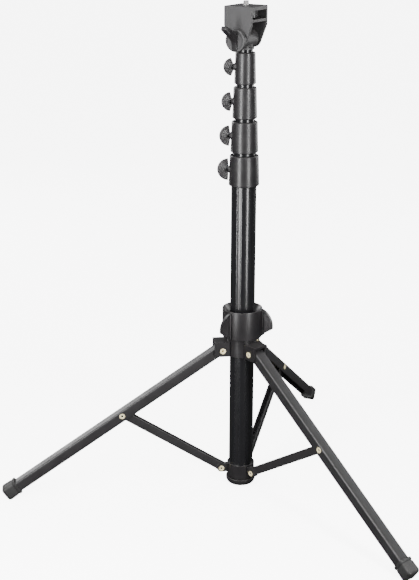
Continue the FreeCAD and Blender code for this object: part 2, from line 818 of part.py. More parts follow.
def make_tilt_nut():
    """Hexagon nut on the outside of the plain side plate."""
    prism = doc.addObject("Part::Prism", "hexagon")
    prism.Polygon = 6
    bind(prism, Circumradius="nut_flats / 2 / cos(30)", Height="nut_thickness")
    place(prism, y="head_width / 2 + nut_thickness", z=TILT, roll="90")
    hole = cross_rod("tilt_stud_radius + nut_gap", "3 * head_width", z=TILT)
    stand_head_piece(cut(prism, hole), "tilt_nut")


def make_tilt_lever():
    """Disc knob with a lever that sweeps up and out, on the stud that passes through the head."""
    face = "(head_width / 2 + lever_gap)"
    front = f"({face} + lever_disc_thickness)"
    disc = rod("lever_disc_radius", "lever_disc_thickness", y=f"-{face}", z=TILT, roll="90")
    bar = padded("YZ_Plane", (
        (f"-{face}", f"{TILT} - lever_disc_radius + lever_heel"),
        (f"-{front} - 0.2 * lever_swell", f"{TILT} - lever_disc_radius + lever_heel"),
        (f"-{front} - 0.5 * lever_swell", f"{TILT} - 0.4 * lever_disc_radius"),
        (f"-{front} - lever_swell", TILT),
        (f"-{front} - 0.42 * lever_tip_reach", f"{TILT} + 0.32 * lever_tip_rise"),
        (f"-{front} - 0.75 * lever_tip_reach", f"{TILT} + 0.62 * lever_tip_rise"),
        (f"-{front} - 0.96 * lever_tip_reach", f"{TILT} + 0.86 * lever_tip_rise"),
        (f"-{front} - 0.86 * lever_tip_reach", f"{TILT} + 1.1 * lever_tip_rise"),
        (f"-{front} - 0.6 * lever_tip_reach", f"{TILT} + lever_tip_rise"),
        (f"-{front} - 0.2 * lever_tip_reach", f"{TILT} + 0.86 * lever_tip_rise"),
        (f"-{face}", f"{TILT} + 0.7 * lever_tip_rise"),
    ), "lever_thickness")
    seat = rod("tilt_stud_radius", "lever_disc_thickness + lever_bite", y=f"-{face}", z=TILT, roll="90")
    stand_head_piece(cut(fuse(disc, bar), seat), "tilt_lever")
    stud = rod("tilt_stud_radius", f"{front} + lever_bite + head_width / 2 + nut_thickness + stud_end",
               y="head_width / 2 + nut_thickness + stud_end", z=TILT, roll="90")
    stand_head_piece(group(stud), "tilt_stud")


def make_camera_screw():
    top = f"({TILT} + head_top)"
    wheel_low = f"({top} - plate_thickness - chamber_height + wheel_gap)"
    wheel_high = f"({top} - plate_thickness - wheel_gap)"
    foot = f"({wheel_low} - wheel_gap - shelf_thickness + screw_chamfer)"
    stand_head_piece(turned((
        ("0", foot),
        ("screw_radius - screw_chamfer", foot),
        ("screw_radius", f"{foot} + screw_chamfer"),
        ("screw_radius", wheel_high),
        ("screw_radius - screw_waist", wheel_high),
        ("screw_radius - screw_waist", f"{top} + screw_waist_rise"),
        ("screw_radius", f"{top} + screw_waist_rise"),
        ("screw_radius", f"{top} + screw_stand - screw_chamfer"),
        ("screw_radius - screw_chamfer", f"{top} + screw_stand"),
        ("0", f"{top} + screw_stand"),
    )), "camera_screw")
    rim = rod("wheel_radius", f"{wheel_high} - {wheel_low}", z=wheel_low)
    bore = rod("screw_radius", "chamber_height + 2 * overrun", z=f"{wheel_low} - overrun")
    grooves = around(int(number("knurl_count")), 0, lambda azimuth: turned_tool(
        slab("wheel_radius - knurl_depth", f"{wheel_low} + knurl_end", "overrun", "knurl_width",
             f"{wheel_high} - {wheel_low} - 2 * knurl_end"), azimuth))
    stand_head_piece(cut(rim, bore, *grooves), "screw_thumbwheel")


# ---------------------------------------------------------------- the whole object
for stage in (0,) + STAGES:
    make_tube(stage)
for stage in STAGES:
    make_guide_bush(stage)
for stage in (0,) + STAGES[:3]:
    make_lock_collar(stage)
    make_brake_pad(stage)
    make_thumb_screw(stage)
make_brace_collar()
make_end_cap()
rivet_set("brace_width", "0", "collar_rivets")
for index, azimuth in enumerate(LEG_AZIMUTHS, start=1):
    make_leg(azimuth, index)
    make_boot(azimuth, index)
    make_brace_rivet(azimuth, index)
    make_brace(azimuth, index)
make_spider()
rivet_set("hood_width", RISE, "spider_rivets")
make_grip_collet()
make_twist_ring()
make_neck()
make_friction_washers()
make_hood()
make_tilt_nut()
make_tilt_lever()
make_camera_screw()
doc.recompute()

# ---------------------------------------------------------------- checks and export
for item in doc.Objects:
    if "Invalid" in item.State or "Error" in item.State:
        raise RuntimeError(f"{item.Label} ({item.Name}) did not recompute: {item.State}")
for item in PARTS:
    if item.Shape.isNull() or not item.Shape.isValid() or not item.Shape.Solids:
        raise RuntimeError(f"{item.Label} has no valid solid")

os.makedirs("parts", exist_ok=True)
for item in PARTS:
    item.Shape.exportStep(f"parts/{item.Label}.step")
print(len(PARTS), "sub-parts written")
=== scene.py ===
"""Looks of a compact five-section tripod: moulded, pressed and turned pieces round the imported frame."""

import json
import math
from contextlib import contextmanager

import bmesh
import bpy
from mathutils import Matrix, Vector


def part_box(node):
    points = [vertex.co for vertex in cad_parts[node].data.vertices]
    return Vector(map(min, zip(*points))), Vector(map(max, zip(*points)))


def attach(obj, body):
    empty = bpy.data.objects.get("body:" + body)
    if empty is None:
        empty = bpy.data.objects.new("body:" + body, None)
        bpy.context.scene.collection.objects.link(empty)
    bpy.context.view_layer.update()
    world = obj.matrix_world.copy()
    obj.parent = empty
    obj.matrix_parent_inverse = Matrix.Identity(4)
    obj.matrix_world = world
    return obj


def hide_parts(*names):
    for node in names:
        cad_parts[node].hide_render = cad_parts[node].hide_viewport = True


bl_info = {
    "name": "Compact tripod looks",
    "version": (1, 0, 0),
    "blender": (4, 5, 0),
    "location": "View3D > Sidebar > Tripod",
    "description": "Builds the finished pieces of a compact tripod round its frame",
    "category": "Object",
}

MM = 0.001
TINY = 1e-6
TURN_STEPS = 96
SHARP_CORNER = 35.0
BEVEL_STEPS = 2
SIDES = (1, 2, 3)
SCREWS = (1, 2, 3, 4)

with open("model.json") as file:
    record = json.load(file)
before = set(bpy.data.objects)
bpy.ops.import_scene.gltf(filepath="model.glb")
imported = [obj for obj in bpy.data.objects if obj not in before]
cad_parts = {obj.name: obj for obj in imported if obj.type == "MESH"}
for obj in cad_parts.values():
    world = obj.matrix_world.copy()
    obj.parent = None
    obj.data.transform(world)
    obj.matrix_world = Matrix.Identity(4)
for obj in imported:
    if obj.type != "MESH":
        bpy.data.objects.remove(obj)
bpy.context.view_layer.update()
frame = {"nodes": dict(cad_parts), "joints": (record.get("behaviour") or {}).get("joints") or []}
JOINTS = {joint["name"]: joint for joint in frame["joints"]}


def joint_place(name):
    return Vector(JOINTS[name]["pos_m"])


MAST = joint_place("twist_ring_turn")


# ---------------------------------------------------------------- sizes and colours
def length(label, text, millimetres):
    return bpy.props.FloatProperty(
        name=label, description=text, default=millimetres * MM, unit="LENGTH", precision=5
    )


def angle(label, text, degrees):
    return bpy.props.FloatProperty(
        name=label, description=text, default=math.radians(degrees), subtype="ANGLE"
    )


def colour(label, text, red, green, blue):
    return bpy.props.FloatVectorProperty(
        name=label, description=text, default=(red, green, blue), subtype="COLOR", size=3, min=0, max=1
    )


class TRIPOD_PG_sizes(bpy.types.PropertyGroup):
    leg_width: length("Leg width", "Outside width of a leg channel", 13.0)
    leg_height: length("Leg height", "Outside height of a leg channel", 12.0)
    leg_offset: length("Leg offset", "Height of the channel's middle over its upper pivot line", 1.3)
    leg_length: length("Leg length", "Upper pivot to the end of the channel", 298.0)
    pin_tilt: angle("Pin tilt", "Angle between the leg and the line through its two pivots", 0.82)
    brace_width: length("Brace width", "Outside width of a brace channel", 8.0)
    brace_height: length("Brace height", "Outside height of a brace channel", 10.0)
    brace_offset: length("Brace offset", "Height of the brace's middle over its pivot line", 1.4)
    brace_tip: length("Brace tip", "Radius of the brace's end inside the leg", 3.9)
    brace_notch: length("Brace notch", "Length cut from the brace's base at the lower collar", 6.4)
    sheet: length("Sheet", "Thickness of the pressed steel", 1.0)
    bend: length("Bend", "Outside radius of the pressed corners", 1.9)
    boot_start: length("Boot start", "Upper pivot to the boot's collar", 285.6)
    boot_end: length("Boot end", "Upper pivot to the boot's nose", 304.0)
    boot_width: length("Boot width", "Width of the boot", 16.0)
    boot_height: length("Boot height", "Height of the boot", 17.0)
    boot_corner: length("Boot corner", "Radius of the boot's long corners", 3.4)
    boot_collar: length("Boot collar", "Length of the raised collar round the boot's mouth", 3.2)
    rivet_head: length("Rivet head", "Radius of an eyelet's rolled head", 3.3)
    rivet_bore: length("Rivet bore", "Radius of the hole through an eyelet", 1.15)
    rivet_shank: length("Rivet shank", "Radius of an eyelet's tube", 2.0)
    spider_grip: length("Spider grip", "Width of a spider lug between an eyelet's heads", 19.4)
    rivet_rise: length("Rivet rise", "Height of an eyelet's head over the sheet", 0.7)
    collar_wall: length("Collar lip", "Width of the collar's top rim", 2.0)
    fin_ridge: length("Fin ridge", "Distance between the arcs moulded in a thumb fin", 1.55)
    fin_slot: length("Fin slot", "Width of the slot at the middle of a thumb fin", 4.3)
    fin_slot_depth: length("Fin slot depth", "Depth of the slot from the fin's straight side", 3.7)
    ring_radius: length("Ring radius", "Outside radius of the twist ring", 22.85)
    ring_bore: length("Ring bore", "Radius of the thread inside the twist ring", 17.6)
    ring_throat: length("Ring throat", "Narrowest radius of the ring's funnel", 16.2)
    ring_mouth: length("Ring mouth", "Radius of the funnel at the top", 21.4)
    funnel_depth: length("Funnel depth", "Depth of the funnel at the top of the ring", 7.0)
    wing_span: length("Wing span", "Ring's side to the tip of a wing", 13.0)
    wing_root: length("Wing root", "Depth of a wing's root in the ring's wall", 1.2)
    wing_round: length("Wing round", "Radius of the arch over a wing", 20.0)
    wing_slope: length("Wing slope", "Rise of a wing's lower edge", 9.5)
    wing_thickness: length("Wing thickness", "Thickness of a wing", 3.6)
    wing_rim: length("Wing rim", "Width of the raised rim round a wing's hollow face", 1.1)
    wing_hollow: length("Wing hollow", "Depth of a wing's hollow face", 1.1)
    wing_lean: angle("Wing lean", "Lean of a wing from straight out", -22.0)
    wing_azimuth: angle("Wing azimuth", "Direction of the first wing", 224.4)
    lever_disc: length("Lever disc", "Radius of the tilt lever's disc", 12.0)
    lever_disc_depth: length("Lever disc depth", "Thickness of the tilt lever's disc", 4.6)
    head_half: length("Head half width", "Half of the head's width along the tilt axis", 16.5)
    lever_gap: length("Lever gap", "Gap between the disc and the head", 0.5)
    lever_reach: length("Lever reach", "Disc's face to the tip of the lever", 24.0)
    lever_rise: length("Lever rise", "Height of the lever's tip over the tilt axis", 15.5)
    lever_swell: length("Lever swell", "How far the bar stands out of the disc at the axis", 3.2)
    lever_width: length("Lever width", "Thickness of the lever's bar", 6.2)
    thread_pitch: length("Thread pitch", "Pitch of the camera screw's thread", 1.27)
    thread_depth: length("Thread depth", "Depth of the camera screw's thread", 0.62)
    wheel_radius: length("Wheel radius", "Radius of the knurled wheel on the camera screw", 12.8)
    knurl_depth: length("Knurl depth", "Depth of the wheel's knurls", 0.45)
    edge_round: length("Edge round", "Rounding of moulded edges", 0.45)
    sheet_round: length("Sheet round", "Rounding of cut sheet edges", 0.22)


class TRIPOD_PG_colours(bpy.types.PropertyGroup):
    anodised: colour("Tubes", "Black anodised tubes", 0.008, 0.008, 0.009)
    plastic: colour("Plastic", "Black moulded plastic", 0.014, 0.013, 0.014)
    head: colour("Head", "Grey moulded head", 0.034, 0.033, 0.034)
    steel_coat: colour("Legs", "Black powder coat on the legs and braces", 0.018, 0.0172, 0.018)
    rubber: colour("Boots", "Black rubber", 0.014, 0.014, 0.014)
    brass: colour("Eyelets", "Pale brass", 0.95, 0.84, 0.52)
    steel: colour("Screw", "Bright steel", 0.62, 0.61, 0.60)
    dark_steel: colour("Studs", "Blackened steel", 0.030, 0.030, 0.032)
    nylon: colour("Bushes", "Dark nylon", 0.035, 0.035, 0.036)


class TRIPOD_PG_stage(bpy.types.PropertyGroup):
    camera_place: bpy.props.FloatVectorProperty(
        name="Camera place", description="Where the camera stands", subtype="XYZ", unit="LENGTH",
        default=(-0.1588, -1.2999, 0.6787),
    )
    camera_heading: angle("Heading", "Direction of the camera's view, from the X axis", 81.81)
    camera_pitch: angle("Pitch", "Downward slope of the camera's view", 18.33)
    camera_roll: angle("Roll", "Turn of the camera about its view", 0.17)
    camera_lens: bpy.props.FloatProperty(
        name="Lens", description="Focal length in millimetres", default=76.08, min=1
    )
    floor_colour: colour("Floor", "Pale floor", 0.93, 0.93, 0.93)
    floor_glow: bpy.props.FloatProperty(
        name="Floor glow", description="Light that the pale floor gives off to the eye", default=7.0, min=0
    )


# ---------------------------------------------------------------- outlines and meshes
def eased(corners, radius=0.0, steps=5):
    """A closed outline with each corner, (x, y) or (x, y, radius), turned into a short curve."""
    points = []
    for index, corner in enumerate(corners):
        here = Vector(corner[:2])
        size = corner[2] if len(corner) == 3 else radius
        if size <= 0:
            points.append(here)
            continue
        before = Vector(corners[index - 1][:2]) - here
        after = Vector(corners[(index + 1) % len(corners)][:2]) - here
        reach = size / math.tan(before.angle(after) / 2)
        reach = min(reach, 0.45 * before.length, 0.45 * after.length)
        start = here + before.normalized() * reach
        end = here + after.normalized() * reach
        for step in range(steps + 1):
            share = step / steps
            middle = 2 * share * (1 - share)
            points.append((1 - share) ** 2 * start + middle * here + share ** 2 * end)
    return points


def arc(centre_x, centre_y, radius, first, last, steps):
    """Points of an arc between two angles in degrees."""
    turns = [math.radians(first + (last - first) * step / steps) for step in range(steps + 1)]
    return [(centre_x + radius * math.cos(turn), centre_y + radius * math.sin(turn)) for turn in turns]


def revolve(outline, ring=False, steps=TURN_STEPS, ripple=None):
    """A (radius, height) outline turned about Z; a ring outline closes on itself."""
    vertices, rows = [], []
    for radius, height in outline:
        if radius < TINY:
            rows.append([len(vertices)] * steps)
            vertices.append((0.0, 0.0, height))
            continue
        rows.append(range(len(vertices), len(vertices) + steps))
        for step in range(steps):
            turn = math.tau * step / steps
            reach = ripple(radius, height, turn) if ripple else radius
            vertices.append((reach * math.cos(turn), reach * math.sin(turn), height))
    pairs = list(zip(rows, rows[1:]))
    if ring:
        pairs.append((rows[-1], rows[0]))
    faces = []
    for lower, upper in pairs:
        for step in range(steps):
            after = (step + 1) % steps
            corners = (lower[step], lower[after], upper[after], upper[step])
            faces.append(list(dict.fromkeys(corners)))
    return vertices, faces


def loft(sections):
    """A skin through closed sections with equal counts of points, capped at both ends."""
    count = len(sections[0])
    vertices = [tuple(point) for section in sections for point in section]
    faces = [list(range(count)), list(range(len(vertices) - count, len(vertices)))]
    for row in range(len(sections) - 1):
        for step in range(count):
            after = (step + 1) % count
            low, high = row * count, (row + 1) * count
            faces.append([low + step, low + after, high + after, high + step])
    return vertices, faces


def plate(outline, middle, thickness):
    """An outline in the XZ plane given a thickness along Y."""
    return loft([
        [(x, middle + side * thickness / 2, z) for x, z in outline] for side in (-1, 1)
    ])


def moved(part, place):
    vertices, faces = part
    return [tuple(place @ Vector(vertex)) for vertex in vertices], faces


def joined(parts):
    vertices, faces = [], []
    for part_vertices, part_faces in parts:
        start = len(vertices)
        vertices += part_vertices
        faces += [[start + index for index in face] for face in part_faces]
    return vertices, faces


@contextmanager
def reshaped(mesh, source=None):
    """Lend a mesh, or a copy of a source, for editing and write the result to the mesh."""
    shell = bmesh.new()
    shell.from_mesh(source or mesh)
    yield shell
    shell.to_mesh(mesh)
    shell.free()


def finish_mesh(mesh, sharp=SHARP_CORNER):
    """Turn every face outward, and shade smooth but for the sharp corners."""
    with reshaped(mesh) as shell:
        bmesh.ops.recalc_face_normals(shell, faces=shell.faces)
    mesh.shade_smooth()
    mesh.set_sharp_from_angle(angle=math.radians(sharp))


def show_piece(name, mesh, body, finish, stands_for=(), bevel=0.0):
    """Put a mesh in the scene as a finished piece that moves with its body."""
    item = bpy.data.objects.new(name, mesh)
    bpy.context.scene.collection.objects.link(item)
    mesh.materials.clear()
    mesh.materials.append(bpy.data.materials[f"{finish}_finish"])
    if bevel:
        edges = item.modifiers.new("rounded_edges", "BEVEL")
        edges.width = bevel
        edges.segments = BEVEL_STEPS
        edges.limit_method = "ANGLE"
        edges.angle_limit = math.radians(SHARP_CORNER)
        edges.harden_normals = True
    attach(item, body)
    if stands_for:
        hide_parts(*stands_for)


def make_piece(
    name, parts, body, finish, stands_for=(), place=None, bevel=0.0, sharp=SHARP_CORNER, cut=None
):
    """Join mesh parts into one piece; cut keeps what is above a floor height."""
    mesh = bpy.data.meshes.new(name)
    vertices, faces = joined(parts)
    mesh.from_pydata(vertices, [], faces)
    if place is not None:
        mesh.transform(place)
    if cut is not None:
        with reshaped(mesh) as shell:
            everything = shell.verts[:] + shell.edges[:] + shell.faces[:]
            sliced = bmesh.ops.bisect_plane(
                shell, geom=everything, plane_co=(0, 0, cut), plane_no=(0, 0, -1), clear_outer=True
            )
            rim = [edge for edge in sliced["geom_cut"] if isinstance(edge, bmesh.types.BMEdge)]
            bmesh.ops.holes_fill(shell, edges=rim)
    finish_mesh(mesh, sharp)
    show_piece(name, mesh, body, finish, stands_for, bevel)


def softened(node, name, body, finish, width):
    """A copy of a frame part with its edges rounded over, standing for that part."""
    flat_enough = math.radians(0.6)
    mesh = bpy.data.meshes.new(name)
    with reshaped(mesh, frame["nodes"][node].data) as shell:
        bmesh.ops.remove_doubles(shell, verts=shell.verts, dist=TINY)
        bmesh.ops.dissolve_limit(
            shell, angle_limit=flat_enough, verts=shell.verts, edges=shell.edges
        )
    for layer in ("custom_normal", "sharp_edge"):
        if layer in mesh.attributes:
            mesh.attributes.remove(mesh.attributes[layer])
    finish_mesh(mesh)
    show_piece(name, mesh, body, finish, (node,), width)


def facing(place, x_axis, z_axis):
    """The matrix that puts a piece at a place with its X and Z along two directions."""
    across = z_axis.cross(x_axis).normalized()
    along = x_axis.normalized()
    turned = Matrix((along, across, along.cross(across))).transposed().to_4x4()
    return Matrix.Translation(place) @ turned


def on_mast(height, azimuth=0.0):
    """The matrix that stands a piece on the mast's axis, turned to an azimuth."""
    return Matrix.Translation((MAST.x, MAST.y, height)) @ Matrix.Rotation(azimuth, 4, "Z")


def radius_of(node):
    low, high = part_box(node)
    return (high.y - low.y) / 2


# ---------------------------------------------------------------- shader groups
SLOTS = {
    "black_anodised": "black_anodised",
    "black_plastic": "black_plastic",
    "grey_head": "grey_head",
    "powder_coat": "black_steel",
    "boot_rubber": "rubber",
    "pale_brass": "brass",
    "bright_steel": "steel",
    "dark_steel": "steel",
    "wheel_black": "wheel_black",
    "dark_nylon": "nylon",
}


def add_node(tree, kind, inputs=None, **settings):
    """Add a shader node; an input that is a socket is linked, a number is set."""
    item = tree.nodes.new("ShaderNode" + kind)
    for name, value in settings.items():
        setattr(item, name, value)
    for name, value in (inputs or {}).items():
        if isinstance(value, bpy.types.NodeSocket):
            tree.links.new(value, item.inputs[name])
        else:
            item.inputs[name].default_value = value
    return item


def maths(tree, operation, first, second, clamp=False):
    item = add_node(tree, "Math", {0: first, 1: second}, operation=operation, use_clamp=clamp)
    return item.outputs[0]


def new_group(name, inputs, outputs):
    tree = bpy.data.node_groups.new(name, "ShaderNodeTree")
    for label, value in inputs.items():
        socket = tree.interface.new_socket(label, in_out="INPUT", socket_type="NodeSocketFloat")
        socket.default_value = value
    for label in outputs:
        tree.interface.new_socket(label, in_out="OUTPUT", socket_type="NodeSocketFloat")
    return tree, tree.nodes.new("NodeGroupInput"), tree.nodes.new("NodeGroupOutput")


def build_moulded_grain():
    """Fine pebble of a moulded or coated surface, with slow changes of tone."""
    tree, given, result = new_group("Moulded Grain", {"Scale": 2500.0}, ("Height", "Tone"))
    place = add_node(tree, "TexCoord").outputs["Object"]
    scale = given.outputs["Scale"]
    fine = add_node(tree, "TexNoise", {"Vector": place, "Scale": scale, "Detail": 3.0})
    pebble = add_node(tree, "TexVoronoi", {"Vector": place, "Scale": scale})
    slow = maths(tree, "DIVIDE", scale, 28.0)
    cloud = add_node(tree, "TexNoise", {"Vector": place, "Scale": slow, "Detail": 4.0})
    height = maths(tree, "ADD", fine.outputs["Fac"], pebble.outputs["Distance"])
    tree.links.new(height, result.inputs["Height"])
    tree.links.new(cloud.outputs["Fac"], result.inputs["Tone"])


def build_drawn_lines():
    """Long fine lines left by drawing or extruding metal along Z."""
    tree, given, result = new_group("Drawn Lines", {"Scale": 1400.0}, ("Height", "Tone"))
    place = add_node(tree, "TexCoord").outputs["Object"]
    stretch = add_node(tree, "Mapping", {"Vector": place, "Scale": (1.0, 1.0, 0.004)})
    lines = add_node(tree, "TexNoise", {
        "Vector": stretch.outputs["Vector"], "Scale": given.outputs["Scale"], "Detail": 2.0,
    })
    scuff = add_node(tree, "TexNoise", {"Vector": place, "Scale": 60.0, "Detail": 5.0})
    tree.links.new(lines.outputs["Fac"], result.inputs["Height"])
    tree.links.new(scuff.outputs["Fac"], result.inputs["Tone"])


def build_rubbed_edges():
    """A mask along edges, broken up as handling breaks a finish."""
    tree, given, result = new_group("Rubbed Edges", {"Width": 0.0006, "Strength": 4.0}, ("Mask",))
    rounded = add_node(tree, "Bevel", {"Radius": given.outputs["Width"]}, samples=6)
    true_normal = add_node(tree, "NewGeometry").outputs["Normal"]
    agree = add_node(
        tree, "VectorMath", {0: rounded.outputs["Normal"], 1: true_normal}, operation="DOT_PRODUCT"
    )
    edge = maths(tree, "SUBTRACT", 1.0, agree.outputs["Value"])
    place = add_node(tree, "TexCoord").outputs["Object"]
    patches = add_node(tree, "TexNoise", {"Vector": place, "Scale": 220.0, "Detail": 4.0})
    broken = maths(tree, "MULTIPLY", edge, patches.outputs["Fac"])
    mask = maths(tree, "MULTIPLY", broken, given.outputs["Strength"], clamp=True)
    tree.links.new(mask, result.inputs["Mask"])


def build_settled_dust():
    """A faint mask on what faces up."""
    tree, given, result = new_group("Settled Dust", {"Amount": 0.1}, ("Mask",))
    normal = add_node(tree, "NewGeometry").outputs["Normal"]
    upward = add_node(tree, "SeparateXYZ", {"Vector": normal}).outputs["Z"]
    place = add_node(tree, "TexCoord").outputs["Object"]
    specks = add_node(tree, "TexNoise", {"Vector": place, "Scale": 900.0, "Detail": 6.0})
    facing_up = maths(tree, "MULTIPLY", upward, specks.outputs["Fac"], clamp=True)
    mask = maths(tree, "MULTIPLY", facing_up, given.outputs["Amount"], clamp=True)
    tree.links.new(mask, result.inputs["Mask"])


def place_group(tree, name, **values):
    item = tree.nodes.new("ShaderNodeGroup")
    item.node_tree = bpy.data.node_groups[name]
    for label, value in values.items():
        item.inputs[label].default_value = value
    return item


# ---------------------------------------------------------------- finishes
DUST_TONE = (0.30, 0.29, 0.28)


def new_finish(name, metallic=0.0, specular=0.5):
    material = bpy.data.materials.new(f"{name}_finish")
    material.use_nodes = True
    tree = material.node_tree
    shader = tree.nodes["Principled BSDF"]
    shader.inputs["Metallic"].default_value = metallic
    shader.inputs["Specular IOR Level"].default_value = specular
    return tree, shader


def mix_tones(tree, mask, base, other):
    item = add_node(tree, "Mix", {"Factor": mask}, data_type="RGBA")
    for socket, tone in ((item.inputs[6], base), (item.inputs[7], other)):
        if isinstance(tone, bpy.types.NodeSocket):
            tree.links.new(tone, socket)
        else:
            socket.default_value = (*tone, 1.0)
    return item.outputs[2]


def lighter(tone, share):
    return [part * share for part in tone]


def ranged(tree, value, low, high):
    item = add_node(tree, "MapRange", {"Value": value, "To Min": low, "To Max": high})
    item.inputs["From Min"].default_value = 0.3
    item.inputs["From Max"].default_value = 0.7
    return item.outputs["Result"]


def surface_relief(tree, shader, height, strength, depth):
    bump = add_node(tree, "Bump", {"Height": height, "Strength": strength, "Distance": depth})
    tree.links.new(bump.outputs["Normal"], shader.inputs["Normal"])


def coated_finish(
    name, tone, roughness, grain, depth, worn, relief=0.06, contrast=0.18, dust=0.12, edge=(0.5 * MM, 3.0)
):
    """Plastic, rubber or paint: pebbled grain, edges polished by handling, a trace of dust."""
    tree, shader = new_finish(name)
    pebble = place_group(tree, "Moulded Grain", Scale=grain)
    edges = place_group(tree, "Rubbed Edges", Width=edge[0], Strength=edge[1])
    settled = place_group(tree, "Settled Dust", Amount=dust)
    cloudy = mix_tones(
        tree, pebble.outputs["Tone"], lighter(tone, 1 - contrast), lighter(tone, 1 + contrast)
    )
    rubbed = mix_tones(tree, edges.outputs["Mask"], cloudy, lighter(tone, worn))
    dusty = mix_tones(tree, settled.outputs["Mask"], rubbed, DUST_TONE)
    tree.links.new(dusty, shader.inputs["Base Color"])
    rough = ranged(tree, pebble.outputs["Tone"], roughness - 0.05, roughness + 0.05)
    tree.links.new(rough, shader.inputs["Roughness"])
    surface_relief(tree, shader, pebble.outputs["Height"], relief, depth)


def anodised_finish(tone):
    """Black anodised tube: drawn lines along it and faint scuffs."""
    tree, shader = new_finish("black_anodised", specular=0.62)
    drawn = place_group(tree, "Drawn Lines", Scale=1400.0)
    edges = place_group(tree, "Rubbed Edges", Width=0.35 * MM, Strength=2.0)
    streaky = mix_tones(tree, drawn.outputs["Height"], lighter(tone, 0.7), lighter(tone, 1.3))
    rubbed = mix_tones(tree, edges.outputs["Mask"], streaky, lighter(tone, 9.0))
    tree.links.new(rubbed, shader.inputs["Base Color"])
    rough = ranged(tree, drawn.outputs["Tone"], 0.2, 0.27)
    tree.links.new(rough, shader.inputs["Roughness"])
    surface_relief(tree, shader, drawn.outputs["Height"], 0.04, 0.02 * MM)


def metal_finish(name, tone, roughness, dull=0.55, metallic=1.0):
    """Bare or plated metal: fine scratches, dulled in patches."""
    tree, shader = new_finish(name, metallic=metallic)
    grain = place_group(tree, "Moulded Grain", Scale=3500.0)
    edges = place_group(tree, "Rubbed Edges", Width=0.25 * MM, Strength=2.0)
    patchy = mix_tones(tree, grain.outputs["Tone"], lighter(tone, dull), tone)
    bright = mix_tones(tree, edges.outputs["Mask"], patchy, [min(1.0, part * 1.25) for part in tone])
    tree.links.new(bright, shader.inputs["Base Color"])
    rough = ranged(tree, grain.outputs["Tone"], roughness - 0.06, roughness + 0.06)
    tree.links.new(rough, shader.inputs["Roughness"])
    surface_relief(tree, shader, grain.outputs["Height"], 0.05, 0.02 * MM)


# ---------------------------------------------------------------- operators
class TRIPOD_OT_finishes(bpy.types.Operator):
    """Make every finish and put it on the frame parts that stay"""
    bl_idname = "tripod.finishes"
    bl_label = "Finishes"

    def execute(self, context):
        tones = context.scene.tripod_colours
        build_moulded_grain()
        build_drawn_lines()
        build_rubbed_edges()
        build_settled_dust()
        anodised_finish(tones.anodised)
        coated_finish("black_plastic", tones.plastic, 0.34, 2600.0, 0.05 * MM, worn=3.0, relief=0.02)
        coated_finish("grey_head", tones.head, 0.5, 2200.0, 0.07 * MM, worn=4.0)
        coated_finish("powder_coat", tones.steel_coat, 0.41, 1500.0, 0.06 * MM, worn=4.0,
                      relief=0.08, contrast=0.2, dust=0.06, edge=(0.6 * MM, 3.5))
        coated_finish("boot_rubber", tones.rubber, 0.62, 1500.0, 0.1 * MM, worn=1.8)
        coated_finish("wheel_black", tones.plastic, 0.3, 2600.0, 0.05 * MM, worn=2.0)
        coated_finish("dark_nylon", tones.nylon, 0.45, 2600.0, 0.04 * MM, worn=1.3)
        metal_finish("pale_brass", tones.brass, 0.4, dull=0.9, metallic=0.3)
        metal_finish("bright_steel", tones.steel, 0.34, metallic=0.7)
        metal_finish("dark_steel", tones.dark_steel, 0.35)
        by_slot = {slot: finish for finish, slot in reversed(SLOTS.items())}
        for name, node in frame["nodes"].items():
            for slot in node.material_slots:
                finish = "dark_steel" if "stud" in name else by_slot[slot.material.name]
                slot.material = bpy.data.materials[f"{finish}_finish"]
        return {"FINISHED"}


class TRIPOD_OT_lock_collars(bpy.types.Operator):
    """Turned lock collars with a boss for each thumb screw"""
    bl_idname = "tripod.lock_collars"
    bl_label = "Lock collars"

    def execute(self, context):
        sizes = context.scene.tripod_sizes
        for index in SCREWS:
            node = f"lock_collar_{index}"
            body = "mast" if index == 1 else f"section_{index}"
            low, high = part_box(node)
            outside = radius_of(node)
            top_radius = outside - 0.95 * MM
            bore = radius_of(f"tube_{index + 1}") + 0.35 * MM
            own_tube = "mast_tube" if index == 1 else f"tube_{index}"
            lower_bore = radius_of(own_tube)
            tall = high.z - low.z
            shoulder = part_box(own_tube)[1].z - low.z
            shell = revolve(eased((
                (lower_bore, 0.0, 0.3 * MM),
                (outside - 1.1 * MM, 0.0, 0.4 * MM),
                (outside, 0.9 * MM, 0.6 * MM),
                (top_radius, tall - 0.9 * MM, 0.5 * MM),
                (top_radius - 0.8 * MM, tall, 0.4 * MM),
                (top_radius - sizes.collar_wall, tall, 0.3 * MM),
                (bore, tall - 1.1 * MM, 0.3 * MM),
                (bore, shoulder, 0.0),
                (lower_bore, shoulder, 0.0),
            )), ring=True)
            screw = joint_place(f"thumb_screw_{index}_turn")
            reach = MAST.x - low.x
            root = outside - 2.6 * MM
            boss = revolve(eased((
                (2.1 * MM, root, 0.0),
                (4.6 * MM, root, 0.0),
                (4.4 * MM, outside - 0.4 * MM, 0.7 * MM),
                (3.6 * MM, outside + 0.3 * MM, 0.5 * MM),
                (3.6 * MM, reach, 0.5 * MM),
                (2.1 * MM, reach, 0.2 * MM),
            )), ring=True, steps=40)
            outward = facing(Vector((MAST.x, MAST.y, screw.z)), Vector((0, 0, 1)), Vector((-1, 0, 0)))
            parts = [moved(shell, on_mast(low.z)), moved(boss, outward)]
            make_piece(f"collar_{index}", parts, body, "black_plastic", (node,))
        return {"FINISHED"}


